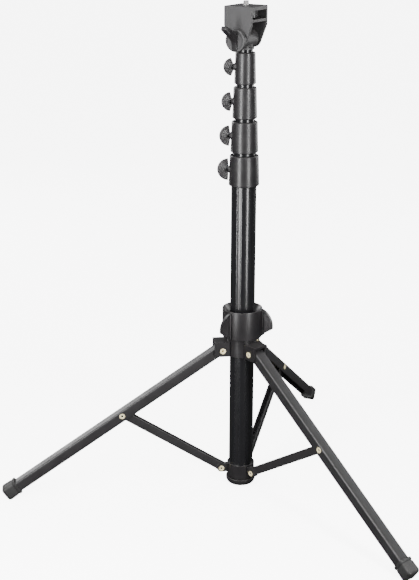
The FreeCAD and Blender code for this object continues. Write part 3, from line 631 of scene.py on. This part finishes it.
class TRIPOD_OT_thumb_fins(bpy.types.Operator):
    """D-shaped thumb fins with moulded arcs and a slot for the stud"""
    bl_idname = "tripod.thumb_fins"
    bl_label = "Thumb fins"

    def execute(self, context):
        sizes = context.scene.tripod_sizes
        for index in SCREWS:
            node = f"thumb_fin_{index}"
            low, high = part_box(node)
            part = self.fin(sizes, high.x - low.x, (high.z - low.z) / 2, (high.y - low.y) / 2)
            place = facing(
                Vector((high.x, MAST.y, (low.z + high.z) / 2)), Vector((-1, 0, 0)), Vector((0, 1, 0))
            )
            make_piece(f"fin_{index}", [part], f"thumb_screw_{index}", "black_plastic", (node,),
                       place=place, sharp=60.0)
        return {"FINISHED"}

    def fin(self, sizes, reach, half, thick):
        """A half disc from a slot outward: X is outward, Y along the straight side, Z the thickness."""
        curve = (reach ** 2 + half ** 2) / (2 * reach)
        lean = math.degrees(math.asin(half / curve))
        around, across = 48, 44
        rim = arc(reach - curve, 0.0, curve, -lean, lean, around)
        radius = sizes.fin_slot / 2
        depth = sizes.fin_slot_depth - radius
        straight = around // 6
        slot = [(depth * step / straight, -radius) for step in range(straight)]
        slot += arc(depth, 0.0, radius, -90, 90, around - 2 * straight)
        slot += [(depth * (straight - 1 - step) / straight, radius) for step in range(straight)]
        front, back = [], []
        outer, step_in, ridge = 1.0 * MM, 0.9 * MM, 0.22 * MM
        for step in range(across + 1):
            share = step / across
            for inner, edge in zip(slot, rim):
                x = inner[0] + (edge[0] - inner[0]) * share
                y = inner[1] + (edge[1] - inner[1]) * share
                gap = (1 - share) * math.hypot(edge[0] - inner[0], edge[1] - inner[1])
                rise = thick
                if gap < outer:
                    rise -= 0.55 * thick * (1 - math.sqrt(max(0.0, 1 - (1 - gap / outer) ** 2)))
                from_slot = math.hypot(x - inner[0], y - inner[1])
                if from_slot > step_in and gap > outer:
                    distance = math.hypot(x, y)
                    rise -= ridge * (1 + math.cos(math.tau * distance / sizes.fin_ridge))
                front.append((x, y, rise))
                back.append((x, y, -rise))
        count, total = len(rim), len(front)
        faces = []
        for row in range(across):
            for column in range(count - 1):
                corner = row * count + column
                quad = [corner, corner + 1, corner + count + 1, corner + count]
                faces.append(quad)
                faces.append([total + step for step in reversed(quad)])
        for row in range(across):
            for column in (0, count - 1):
                near, far = row * count + column, (row + 1) * count + column
                faces.append([near, far, total + far, total + near])
        for column in range(count - 1):
            for row in (0, across):
                near = row * count + column
                faces.append([near, near + 1, total + near + 1, total + near])
        return front + back, faces


class TRIPOD_OT_twist_ring(bpy.types.Operator):
    """The twist ring with its funnel and three hollow-faced wings"""
    bl_idname = "tripod.twist_ring"
    bl_label = "Twist ring"

    def execute(self, context):
        sizes = context.scene.tripod_sizes
        low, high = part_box("twist_lock_ring")
        tall = high.z - low.z
        throat = tall - sizes.funnel_depth
        body = revolve(eased((
            (sizes.ring_bore, 0.0, 0.3 * MM),
            (sizes.ring_radius, 0.0, 1.2 * MM),
            (sizes.ring_radius, tall, 0.7 * MM),
            (sizes.ring_mouth, tall, 0.3 * MM),
            (sizes.ring_throat, throat, 0.6 * MM),
            (sizes.ring_throat, throat - 2.0 * MM, 0.2 * MM),
            (sizes.ring_bore, throat - 5.4 * MM, 0.2 * MM),
        )), ring=True, steps=128)
        make_piece("ring_body", [body], "twist_ring", "black_plastic", ("twist_lock_ring",),
                   place=on_mast(low.z))
        for turn in range(3):
            place = on_mast(low.z, sizes.wing_azimuth + math.tau * turn / 3)
            root = Matrix.Translation((sizes.ring_radius, 0, 0))
            lean = Matrix.Rotation(sizes.wing_lean, 4, "Z")
            self.wing(sizes, tall, turn + 1, place @ root @ lean)
        return {"FINISHED"}

    def wing(self, sizes, tall, index, place):
        """A wing with an arched top, hollow on the side that the thumb pulls."""
        span, root, arch = sizes.wing_span, sizes.wing_root, sizes.wing_round
        half = sizes.wing_thickness / 2
        last = math.degrees(math.acos((arch - span - root) / arch))
        outline = [(-root, 0.8 * MM), (span, 0.8 * MM + sizes.wing_slope)]
        outline += arc(span - arch, tall - arch, arch, 0, last, 20)
        blade = plate(outline, 0.0, 2 * half)
        mesh = bpy.data.meshes.new(f"wing_{index}")
        mesh.from_pydata(blade[0], [], blade[1])
        with reshaped(mesh) as shell:
            bmesh.ops.recalc_face_normals(shell, faces=shell.faces)
            hollow = [face for face in shell.faces if face.normal.y > 0.9]
            bmesh.ops.inset_region(shell, faces=hollow, thickness=sizes.wing_rim, use_even_offset=True)
            bmesh.ops.translate(
                shell, verts=list({vertex for face in hollow for vertex in face.verts}),
                vec=(0, -sizes.wing_hollow, 0),
            )
        mesh.transform(place)
        finish_mesh(mesh)
        show_piece(f"wing_{index}", mesh, "twist_ring", "black_plastic", (), 0.35 * MM)
        bead = revolve(eased((
            (0.0, 1.4 * MM), (1.2 * MM, 1.4 * MM, 0.8 * MM),
            (1.2 * MM, tall - 2.6 * MM, 0.8 * MM), (0.0, tall - 2.6 * MM),
        )), steps=24)
        beads = [moved(bead, place @ Matrix.Translation((MM, side * half, 0))) for side in (-1, 1)]
        ribs = [moved(self.rib(sizes, tall, inset), place) for inset in (2.6 * MM, 4.6 * MM, 6.6 * MM)]
        make_piece(f"wing_ribs_{index}", beads + ribs, "twist_ring", "black_plastic")

    def rib(self, sizes, tall, inset):
        """A low ridge that follows a wing's arch on its plain face."""
        half = sizes.wing_thickness / 2
        middle = Vector((sizes.wing_span - sizes.wing_round, tall - sizes.wing_round))
        sections = []
        for x, z in arc(middle.x, middle.y, sizes.wing_round - inset, -12, 52, 14):
            out = (Vector((x, z)) - middle).normalized() * 0.45 * MM
            sections.append([
                (x + share * out.x, -half + stand, z + share * out.y)
                for share, stand in ((-1, 0.1 * MM), (-0.4, -0.3 * MM), (0.4, -0.3 * MM), (1, 0.1 * MM))
            ])
        return loft(sections)


def channel(start, end, width, height, offset, sheet, bend, open_below):
    """A pressed U channel along X with rounded bends."""
    half, side = width / 2, (1 if open_below else -1)
    lip = 0.45 * sheet
    outline = eased((
        (-half, -height / 2, lip), (-half, height / 2, bend), (half, height / 2, bend),
        (half, -height / 2, lip), (half - sheet, -height / 2, lip),
        (half - sheet, height / 2 - sheet, bend - sheet),
        (-half + sheet, height / 2 - sheet, bend - sheet), (-half + sheet, -height / 2, lip),
    ))
    stations = (start, start + 2.0 * MM, (start + end) / 2, end - 2.0 * MM, end)
    return loft([[(x, y, offset + side * z) for y, z in outline] for x in stations])


def tongues(x, to, radius, z, offset, height, width, sheet):
    """The two rounded flange ends past the notched base of a channel."""
    turn = 1 if to > x else -1
    nose = arc(x, z, radius, 90, 270, 18) if turn > 0 else arc(x, z, radius, 90, -90, 18)
    outline = [(to, offset + height / 2)] + nose + [(to, offset - height / 2)]
    return [plate(outline, side * (width - sheet) / 2, sheet) for side in (-1, 1)]


def leg_frame(sizes, index):
    """The leg's frame: X down along the leg from its upper pivot, Z out of its web."""
    spread = joint_place(f"brace_{index}_fold")
    pivot = Vector((spread.x, spread.y, joint_place("spider_slide").z))
    low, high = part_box(f"brace_rivet_{index}")
    along = (low + high) / 2 - pivot
    across = Vector((0, 0, 1)).cross(along).normalized()
    web = along.cross(across).normalized()
    place = facing(pivot, along, web)
    return place @ Matrix.Rotation(sizes.pin_tilt, 4, "Y")


class TRIPOD_OT_legs(bpy.types.Operator):
    """Pressed steel legs with rounded bends"""
    bl_idname = "tripod.legs"
    bl_label = "Legs"

    def execute(self, context):
        sizes = context.scene.tripod_sizes
        for index in SIDES:
            parts = [channel(0.0, sizes.leg_length, sizes.leg_width, sizes.leg_height,
                             sizes.leg_offset, sizes.sheet, sizes.bend, True)]
            parts += tongues(0.0, 0.01 * MM, sizes.leg_height / 2, sizes.leg_offset, sizes.leg_offset,
                             sizes.leg_height, sizes.leg_width, sizes.sheet)
            make_piece(f"leg_channel_{index}", parts, f"leg_{index}", "powder_coat", (f"leg_{index}",),
                       place=leg_frame(sizes, index), bevel=sizes.sheet_round)
        return {"FINISHED"}


class TRIPOD_OT_braces(bpy.types.Operator):
    """Pressed steel braces, open on their upper side"""
    bl_idname = "tripod.braces"
    bl_label = "Braces"

    def execute(self, context):
        sizes = context.scene.tripod_sizes
        for index in SIDES:
            foot = joint_place(f"brace_{index}_fold")
            low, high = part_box(f"brace_rivet_{index}")
            along = (low + high) / 2 - foot
            across = Vector((0, 0, 1)).cross(along)
            place = facing(foot, along, along.cross(across))
            long = along.length
            parts = [channel(sizes.brace_notch, long - 1.0 * MM, sizes.brace_width, sizes.brace_height,
                             sizes.brace_offset, sizes.sheet, sizes.bend - 0.3 * MM, False)]
            parts += tongues(0.0, sizes.brace_notch, sizes.brace_height / 2, sizes.brace_offset,
                             sizes.brace_offset, sizes.brace_height, sizes.brace_width, sizes.sheet)
            parts += tongues(long, long - 1.0 * MM, sizes.brace_tip, 0.0, sizes.brace_offset,
                             2 * sizes.brace_tip, sizes.brace_width, sizes.sheet)
            make_piece(f"brace_channel_{index}", parts, f"brace_{index}", "powder_coat",
                       (f"brace_{index}",), place=place, bevel=sizes.sheet_round)
        return {"FINISHED"}


class TRIPOD_OT_boots(bpy.types.Operator):
    """Rubber boots with a collar round the mouth and a flat sole"""
    bl_idname = "tripod.boots"
    bl_label = "Boots"

    def execute(self, context):
        sizes = context.scene.tripod_sizes
        collar = sizes.boot_start + sizes.boot_collar
        nose = sizes.boot_corner
        stations = [
            (sizes.boot_start, 0.5 * MM), (sizes.boot_start + 0.5 * MM, 0.0),
            (collar - 0.4 * MM, 0.0), (collar, 0.25 * MM), (collar + 0.3 * MM, 0.75 * MM),
            (collar + 1.0 * MM, 0.8 * MM), (collar + 1.8 * MM, 0.3 * MM),
        ]
        for step in range(7):
            turn = math.radians(15 * step)
            stations.append((sizes.boot_end - nose + nose * math.sin(turn), nose * (1 - math.cos(turn))))
        for index in SIDES:
            sections = [self.section(sizes, x, inset) for x, inset in stations]
            make_piece(f"boot_{index}", [loft(sections)], f"leg_{index}", "boot_rubber",
                       (f"foot_boot_{index}",), place=leg_frame(sizes, index), cut=0.0, sharp=40.0)
        return {"FINISHED"}

    def section(self, sizes, x, inset):
        wide, tall = sizes.boot_width / 2 - inset, sizes.boot_height / 2 - inset
        corners = ((-wide, -tall), (wide, -tall), (wide, tall), (-wide, tall))
        outline = eased(corners, max(sizes.boot_corner - 0.5 * inset, 0.5 * MM), steps=6)
        return [(x, y, sizes.leg_offset + z) for y, z in outline]


class TRIPOD_OT_eyelets(bpy.types.Operator):
    """Hollow brass eyelets at every pivot of the legs and braces"""
    bl_idname = "tripod.eyelets"
    bl_label = "Eyelets"

    def execute(self, context):
        sizes = context.scene.tripod_sizes
        for name in ("collar_rivets", "spider_rivets"):
            body = "mast" if name == "collar_rivets" else "spider"
            grip = sizes.brace_width if body == "mast" else sizes.spider_grip
            low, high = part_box(name)
            parts = []
            for index in SIDES:
                pivot = joint_place(f"brace_{index}_fold")
                middle = Vector((pivot.x, pivot.y, (low.z + high.z) / 2))
                parts.append(moved(self.eyelet(sizes, grip), self.across(index, middle)))
            make_piece(f"{name}_brass", parts, body, "pale_brass", (name,))
        for index in SIDES:
            low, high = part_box(f"brace_rivet_{index}")
            part = moved(self.eyelet(sizes, sizes.leg_width), self.across(index, (low + high) / 2))
            make_piece(f"brace_eyelet_{index}", [part], f"leg_{index}", "pale_brass",
                       (f"brace_rivet_{index}",))
        return {"FINISHED"}

    def across(self, index, middle):
        return facing(middle, Vector((0, 0, 1)), Vector(JOINTS[f"brace_{index}_fold"]["axis"]))

    def eyelet(self, sizes, grip):
        flat, top = grip / 2, grip / 2 + sizes.rivet_rise
        bore, shank, head = sizes.rivet_bore, sizes.rivet_shank, sizes.rivet_head
        outline = []
        for side in (-1, 1):
            rim = [(shank, side * flat), (head, side * flat, 0.25 * MM), (head, side * top, 0.55 * MM),
                   (bore + 0.5 * MM, side * top, 0.3 * MM), (bore, side * (top - 0.7 * MM), 0.3 * MM)]
            outline += rim if side > 0 else rim[::-1]
        return revolve(eased(outline, steps=4), ring=True, steps=40)


class TRIPOD_OT_spider(bpy.types.Operator):
    """The leg spider and the lower collar, with rounded moulded edges"""
    bl_idname = "tripod.spider"
    bl_label = "Spider and lower collar"

    def execute(self, context):
        sizes = context.scene.tripod_sizes
        softened("leg_spider", "spider_shell", "spider", "black_plastic", sizes.edge_round)
        softened("brace_collar", "lower_collar", "mast", "black_plastic", sizes.edge_round)
        return {"FINISHED"}


class TRIPOD_OT_end_cap(bpy.types.Operator):
    """The rounded plug under the mast"""
    bl_idname = "tripod.end_cap"
    bl_label = "End cap"

    def execute(self, context):
        low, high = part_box("mast_end_cap")
        radius = radius_of("mast_end_cap")
        mouth = radius_of("mast_tube")
        bore = mouth - 1.0 * MM
        plug_wall, floor = 1.4 * MM, 3.0 * MM
        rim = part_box("brace_collar")[0].z - low.z - 1.2 * MM
        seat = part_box("mast_tube")[0].z - low.z
        outline = eased((
            (0.0, 0.0),
            (0.55 * radius, 0.0, 5.0 * MM),
            (radius - 1.6 * MM, 2.4 * MM, 5.0 * MM),
            (radius, 6.0 * MM, 2.0 * MM),
            (radius, rim, 0.5 * MM),
            (mouth, rim),
            (mouth, seat),
            (bore, seat),
            (bore, high.z - low.z, 0.4 * MM),
            (bore - plug_wall, high.z - low.z, 0.4 * MM),
            (bore - plug_wall, floor),
            (0.0, floor),
        ), steps=8)
        place = on_mast(low.z)
        make_piece("end_cap", [revolve(outline)], "mast", "black_plastic", ("mast_end_cap",), place=place)
        return {"FINISHED"}


def head_frame():
    """The head's frame: X to the open front, Y along the tilt axis, Z up."""
    axis = Vector(JOINTS["head_tilt"]["axis"])
    front = axis.cross(Vector((0, 0, 1)))
    return facing(joint_place("head_tilt"), front, Vector((0, 0, 1)))


class TRIPOD_OT_head(bpy.types.Operator):
    """The grey head, its neck and the nut on the tilt stud"""
    bl_idname = "tripod.head"
    bl_label = "Head"

    def execute(self, context):
        sizes = context.scene.tripod_sizes
        softened("head_hood", "hood", "head", "grey_head", sizes.edge_round)
        softened("head_neck", "neck", "section_5", "grey_head", 0.35 * MM)
        softened("tilt_nut", "nut", "head", "dark_steel", 0.3 * MM)
        return {"FINISHED"}


class TRIPOD_OT_tilt_lever(bpy.types.Operator):
    """The dished tilt knob and the black lever that sweeps up across it"""
    bl_idname = "tripod.tilt_lever"
    bl_label = "Tilt lever"

    def execute(self, context):
        sizes = context.scene.tripod_sizes
        place = head_frame()
        face = sizes.head_half + sizes.lever_gap
        disc, deep = sizes.lever_disc, sizes.lever_disc_depth
        knob = revolve(eased((
            (0.0, 0.0),
            (disc, 0.0, 0.6 * MM),
            (disc, deep, 1.1 * MM),
            (disc - 2.2 * MM, deep, 0.6 * MM),
            (disc - 3.2 * MM, deep - 0.7 * MM, 0.6 * MM),
            (0.0, deep - 0.7 * MM),
        )), steps=72)
        outward = place @ facing(Vector((0, -face, 0)), Vector((1, 0, 0)), Vector((0, -1, 0)))
        make_piece("lever_knob", [knob], "lever", "grey_head", ("tilt_lever",), place=outward)
        self.bar(sizes, place, face)
        return {"FINISHED"}

    def bar(self, sizes, place, face):
        """The bar: Y runs outward from the head and Z up, both from the tilt axis."""
        front = face + sizes.lever_disc_depth
        reach, rise, swell = sizes.lever_reach, sizes.lever_rise, sizes.lever_swell
        heel = 1.2 * MM - sizes.lever_disc
        outline = eased((
            (-face - MM, heel),
            (-front - 0.2 * swell, heel, 1.5 * MM),
            (-front - 0.5 * swell, -0.4 * sizes.lever_disc, 3.0 * MM),
            (-front - swell, 0.0, 6.0 * MM),
            (-front - 0.42 * reach, 0.32 * rise, 6.0 * MM),
            (-front - 0.75 * reach, 0.62 * rise, 6.0 * MM),
            (-front - 0.96 * reach, 0.86 * rise, 2.0 * MM),
            (-front - 0.86 * reach, 1.1 * rise, 1.6 * MM),
            (-front - 0.6 * reach, 0.94 * rise, 5.0 * MM),
            (-front - 0.28 * reach, 0.66 * rise, 5.0 * MM),
            (-front + 0.4 * MM, 0.34 * rise, 2.0 * MM),
            (-face - MM, 0.3 * rise),
        ), steps=4)
        half = sizes.lever_width / 2
        part = loft([[(side * half, y, z) for y, z in outline] for side in (-1, 1)])
        make_piece("lever_bar", [part], "lever", "black_plastic", place=place, bevel=0.7 * MM)


class TRIPOD_OT_camera_screw(bpy.types.Operator):
    """The threaded camera screw and its knurled wheel"""
    bl_idname = "tripod.camera_screw"
    bl_label = "Camera screw"

    def execute(self, context):
        sizes = context.scene.tripod_sizes
        low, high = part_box("camera_screw")
        radius = radius_of("camera_screw")
        tall = high.z - low.z
        rows = int(tall / (sizes.thread_pitch / 10))

        def thread(reach, height, turn):
            if reach < radius - TINY:
                return reach
            wave = (height / sizes.thread_pitch - turn / math.tau) % 1.0
            crest = abs(2 * wave - 1)
            fade = min(1.0, height / MM, (tall - height) / MM)
            return reach - sizes.thread_depth * max(0.0, 1 - 1.15 * crest) - 0.35 * MM * (1 - fade)

        outline = [(0.0, 0.0), (radius - 0.6 * MM, 0.0)]
        outline += [(radius, tall * (row + 0.5) / rows) for row in range(rows)]
        outline += [(radius - 0.6 * MM, tall), (0.0, tall)]
        screw = revolve(outline, steps=48, ripple=thread)
        make_piece("screw_thread", [screw], "screw", "bright_steel", ("camera_screw",),
                   place=on_mast(low.z))
        self.wheel(sizes)
        return {"FINISHED"}

    def wheel(self, sizes):
        low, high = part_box("screw_thumbwheel")
        tall = high.z - low.z
        bore = 3.2 * MM
        knurls = 40

        def knurl(reach, height, turn):
            if reach < sizes.wheel_radius - 0.5 * MM:
                return reach
            return reach - sizes.knurl_depth * (0.5 - 0.5 * math.cos(knurls * turn))

        outline = eased((
            (bore, 0.0, 0.2 * MM), (sizes.wheel_radius, 0.0, 0.5 * MM),
            (sizes.wheel_radius, tall, 0.5 * MM), (bore, tall, 0.2 * MM),
        ))
        rim = revolve(outline, ring=True, steps=knurls * 6, ripple=knurl)
        make_piece("knurled_wheel", [rim], "screw", "wheel_black", ("screw_thumbwheel",),
                   place=on_mast(low.z), sharp=50.0)


def aim(place, target):
    return (target - place).to_track_quat("-Z", "Y").to_euler()


def soft_light(name, place, target, wide, tall, power):
    lamp = bpy.data.lights.new(name, "AREA")
    lamp.shape = "RECTANGLE"
    lamp.size = wide
    lamp.size_y = tall
    lamp.energy = power
    item = bpy.data.objects.new(name, lamp)
    item.location = place
    item.rotation_euler = aim(place, target)
    item.visible_camera = False
    bpy.context.scene.collection.objects.link(item)


def round_the_mast(azimuth, distance, height):
    turn = math.radians(azimuth)
    return Vector((MAST.x + distance * math.cos(turn), distance * math.sin(turn), height))


class TRIPOD_OT_stage(bpy.types.Operator):
    """Pale floor, soft studio light and the camera"""
    bl_idname = "tripod.stage"
    bl_label = "Stage"

    def execute(self, context):
        stage = context.scene.tripod_stage
        self.floor(stage)
        self.lights()
        self.world()
        camera = bpy.data.cameras.new("camera")
        camera.lens = stage.camera_lens
        camera.sensor_width = 36.0
        camera.clip_end = 100.0
        item = bpy.data.objects.new("camera", camera)
        flat = math.cos(stage.camera_pitch)
        view = Vector((
            math.cos(stage.camera_heading) * flat, math.sin(stage.camera_heading) * flat,
            -math.sin(stage.camera_pitch),
        ))
        turned = view.to_track_quat("-Z", "Y").to_matrix().to_4x4()
        roll = Matrix.Rotation(stage.camera_roll, 4, "Z")
        item.matrix_world = Matrix.Translation(stage.camera_place) @ turned @ roll
        bpy.context.scene.collection.objects.link(item)
        context.scene.camera = item
        return {"FINISHED"}

    def floor(self, stage):
        half, below_feet = 12.0, 0.2 * MM
        mesh = bpy.data.meshes.new("floor")
        corners = [(-half, -half, 0), (half, -half, 0), (half, half, 0), (-half, half, 0)]
        mesh.from_pydata(corners, [], [(0, 1, 2, 3)])
        item = bpy.data.objects.new("floor", mesh)
        item.location.z = -below_feet
        bpy.context.scene.collection.objects.link(item)
        mesh.materials.append(self.floor_finish(stage))

    def floor_finish(self, stage):
        """Bright and pale to the eye, and dark to reflections, so upright walls mirror no glare."""
        tree, pale = new_finish("pale_floor", specular=0.2)
        pale.inputs["Base Color"].default_value = (*stage.floor_colour, 1.0)
        pale.inputs["Roughness"].default_value = 0.9
        pale.inputs["Emission Color"].default_value = (1.0, 1.0, 1.0, 1.0)
        pale.inputs["Emission Strength"].default_value = stage.floor_glow
        dark = add_node(tree, "BsdfDiffuse", {"Color": (0.05, 0.05, 0.05, 1.0)})
        seen = add_node(tree, "LightPath").outputs["Is Camera Ray"]
        mixed = add_node(tree, "MixShader", {0: seen, 1: dark.outputs[0], 2: pale.outputs[0]})
        tree.links.new(mixed.outputs[0], tree.nodes["Material Output"].inputs["Surface"])
        return bpy.data.materials["pale_floor_finish"]

    def lights(self):
        middle = Vector((MAST.x, MAST.y, 0.30))
        camera_side = 260.2
        soft_light("left_strip", round_the_mast(camera_side - 36, 0.65, 0.47), middle, 0.10, 0.92, 10)
        soft_light("right_strip", round_the_mast(camera_side + 36, 0.65, 0.47), middle, 0.09, 0.92, 8)
        soft_light("front_left", round_the_mast(camera_side - 62, 1.8, 0.9), middle, 1.0, 1.2, 10)
        soft_light("overhead", Vector((MAST.x, 0.2, 1.9)), middle, 1.2, 1.2, 8)
        soft_light("back_left", round_the_mast(camera_side - 140, 1.6, 0.7), middle, 0.5, 1.4, 12)
        soft_light("back_right", round_the_mast(camera_side + 125, 1.6, 0.7), middle, 0.5, 1.4, 14)

    def world(self):
        """White to the eye, a dim grey room to the reflections."""
        world = bpy.data.worlds.new("studio")
        bpy.context.scene.world = world
        world.use_nodes = True
        tree = world.node_tree
        tree.nodes.clear()
        seen = add_node(tree, "Background", {"Color": (1, 1, 1, 1), "Strength": 8.0})
        felt = add_node(tree, "Background", {"Color": (0.9, 0.93, 1.0, 1), "Strength": 0.16})
        path = add_node(tree, "LightPath").outputs["Is Camera Ray"]
        mixed = add_node(tree, "MixShader", {0: path, 1: felt.outputs[0], 2: seen.outputs[0]})
        result = add_node(tree, "OutputWorld", {"Surface": mixed.outputs[0]})
        result.is_active_output = True


STEPS = (
    TRIPOD_OT_stage,
    TRIPOD_OT_finishes,
    TRIPOD_OT_lock_collars,
    TRIPOD_OT_thumb_fins,
    TRIPOD_OT_twist_ring,
    TRIPOD_OT_spider,
    TRIPOD_OT_legs,
    TRIPOD_OT_braces,
    TRIPOD_OT_boots,
    TRIPOD_OT_eyelets,
    TRIPOD_OT_end_cap,
    TRIPOD_OT_head,
    TRIPOD_OT_tilt_lever,
    TRIPOD_OT_camera_screw,
)


class TRIPOD_PT_panel(bpy.types.Panel):
    """Lists the steps that build the tripod's looks"""
    bl_label = "Tripod"
    bl_idname = "TRIPOD_PT_panel"
    bl_space_type = "VIEW_3D"
    bl_region_type = "UI"
    bl_category = "Tripod"

    def draw(self, context):
        for step in STEPS:
            self.layout.operator(step.bl_idname)
        for group in (context.scene.tripod_sizes, context.scene.tripod_colours, context.scene.tripod_stage):
            box = self.layout.box()
            for name in group.__annotations__:
                box.prop(group, name)


GROUPS = {
    "tripod_sizes": TRIPOD_PG_sizes,
    "tripod_colours": TRIPOD_PG_colours,
    "tripod_stage": TRIPOD_PG_stage,
}


def register():
    for item in (*GROUPS.values(), *STEPS, TRIPOD_PT_panel):
        bpy.utils.register_class(item)
    for name, group in GROUPS.items():
        setattr(bpy.types.Scene, name, bpy.props.PointerProperty(type=group))


def unregister():
    for name in GROUPS:
        delattr(bpy.types.Scene, name)
    for item in reversed((*GROUPS.values(), *STEPS, TRIPOD_PT_panel)):
        bpy.utils.unregister_class(item)


def main():
    register()
    for step in STEPS:
        family, action = step.bl_idname.split(".")
        getattr(getattr(bpy.ops, family), action)()


if __name__ == "__main__":
    main()
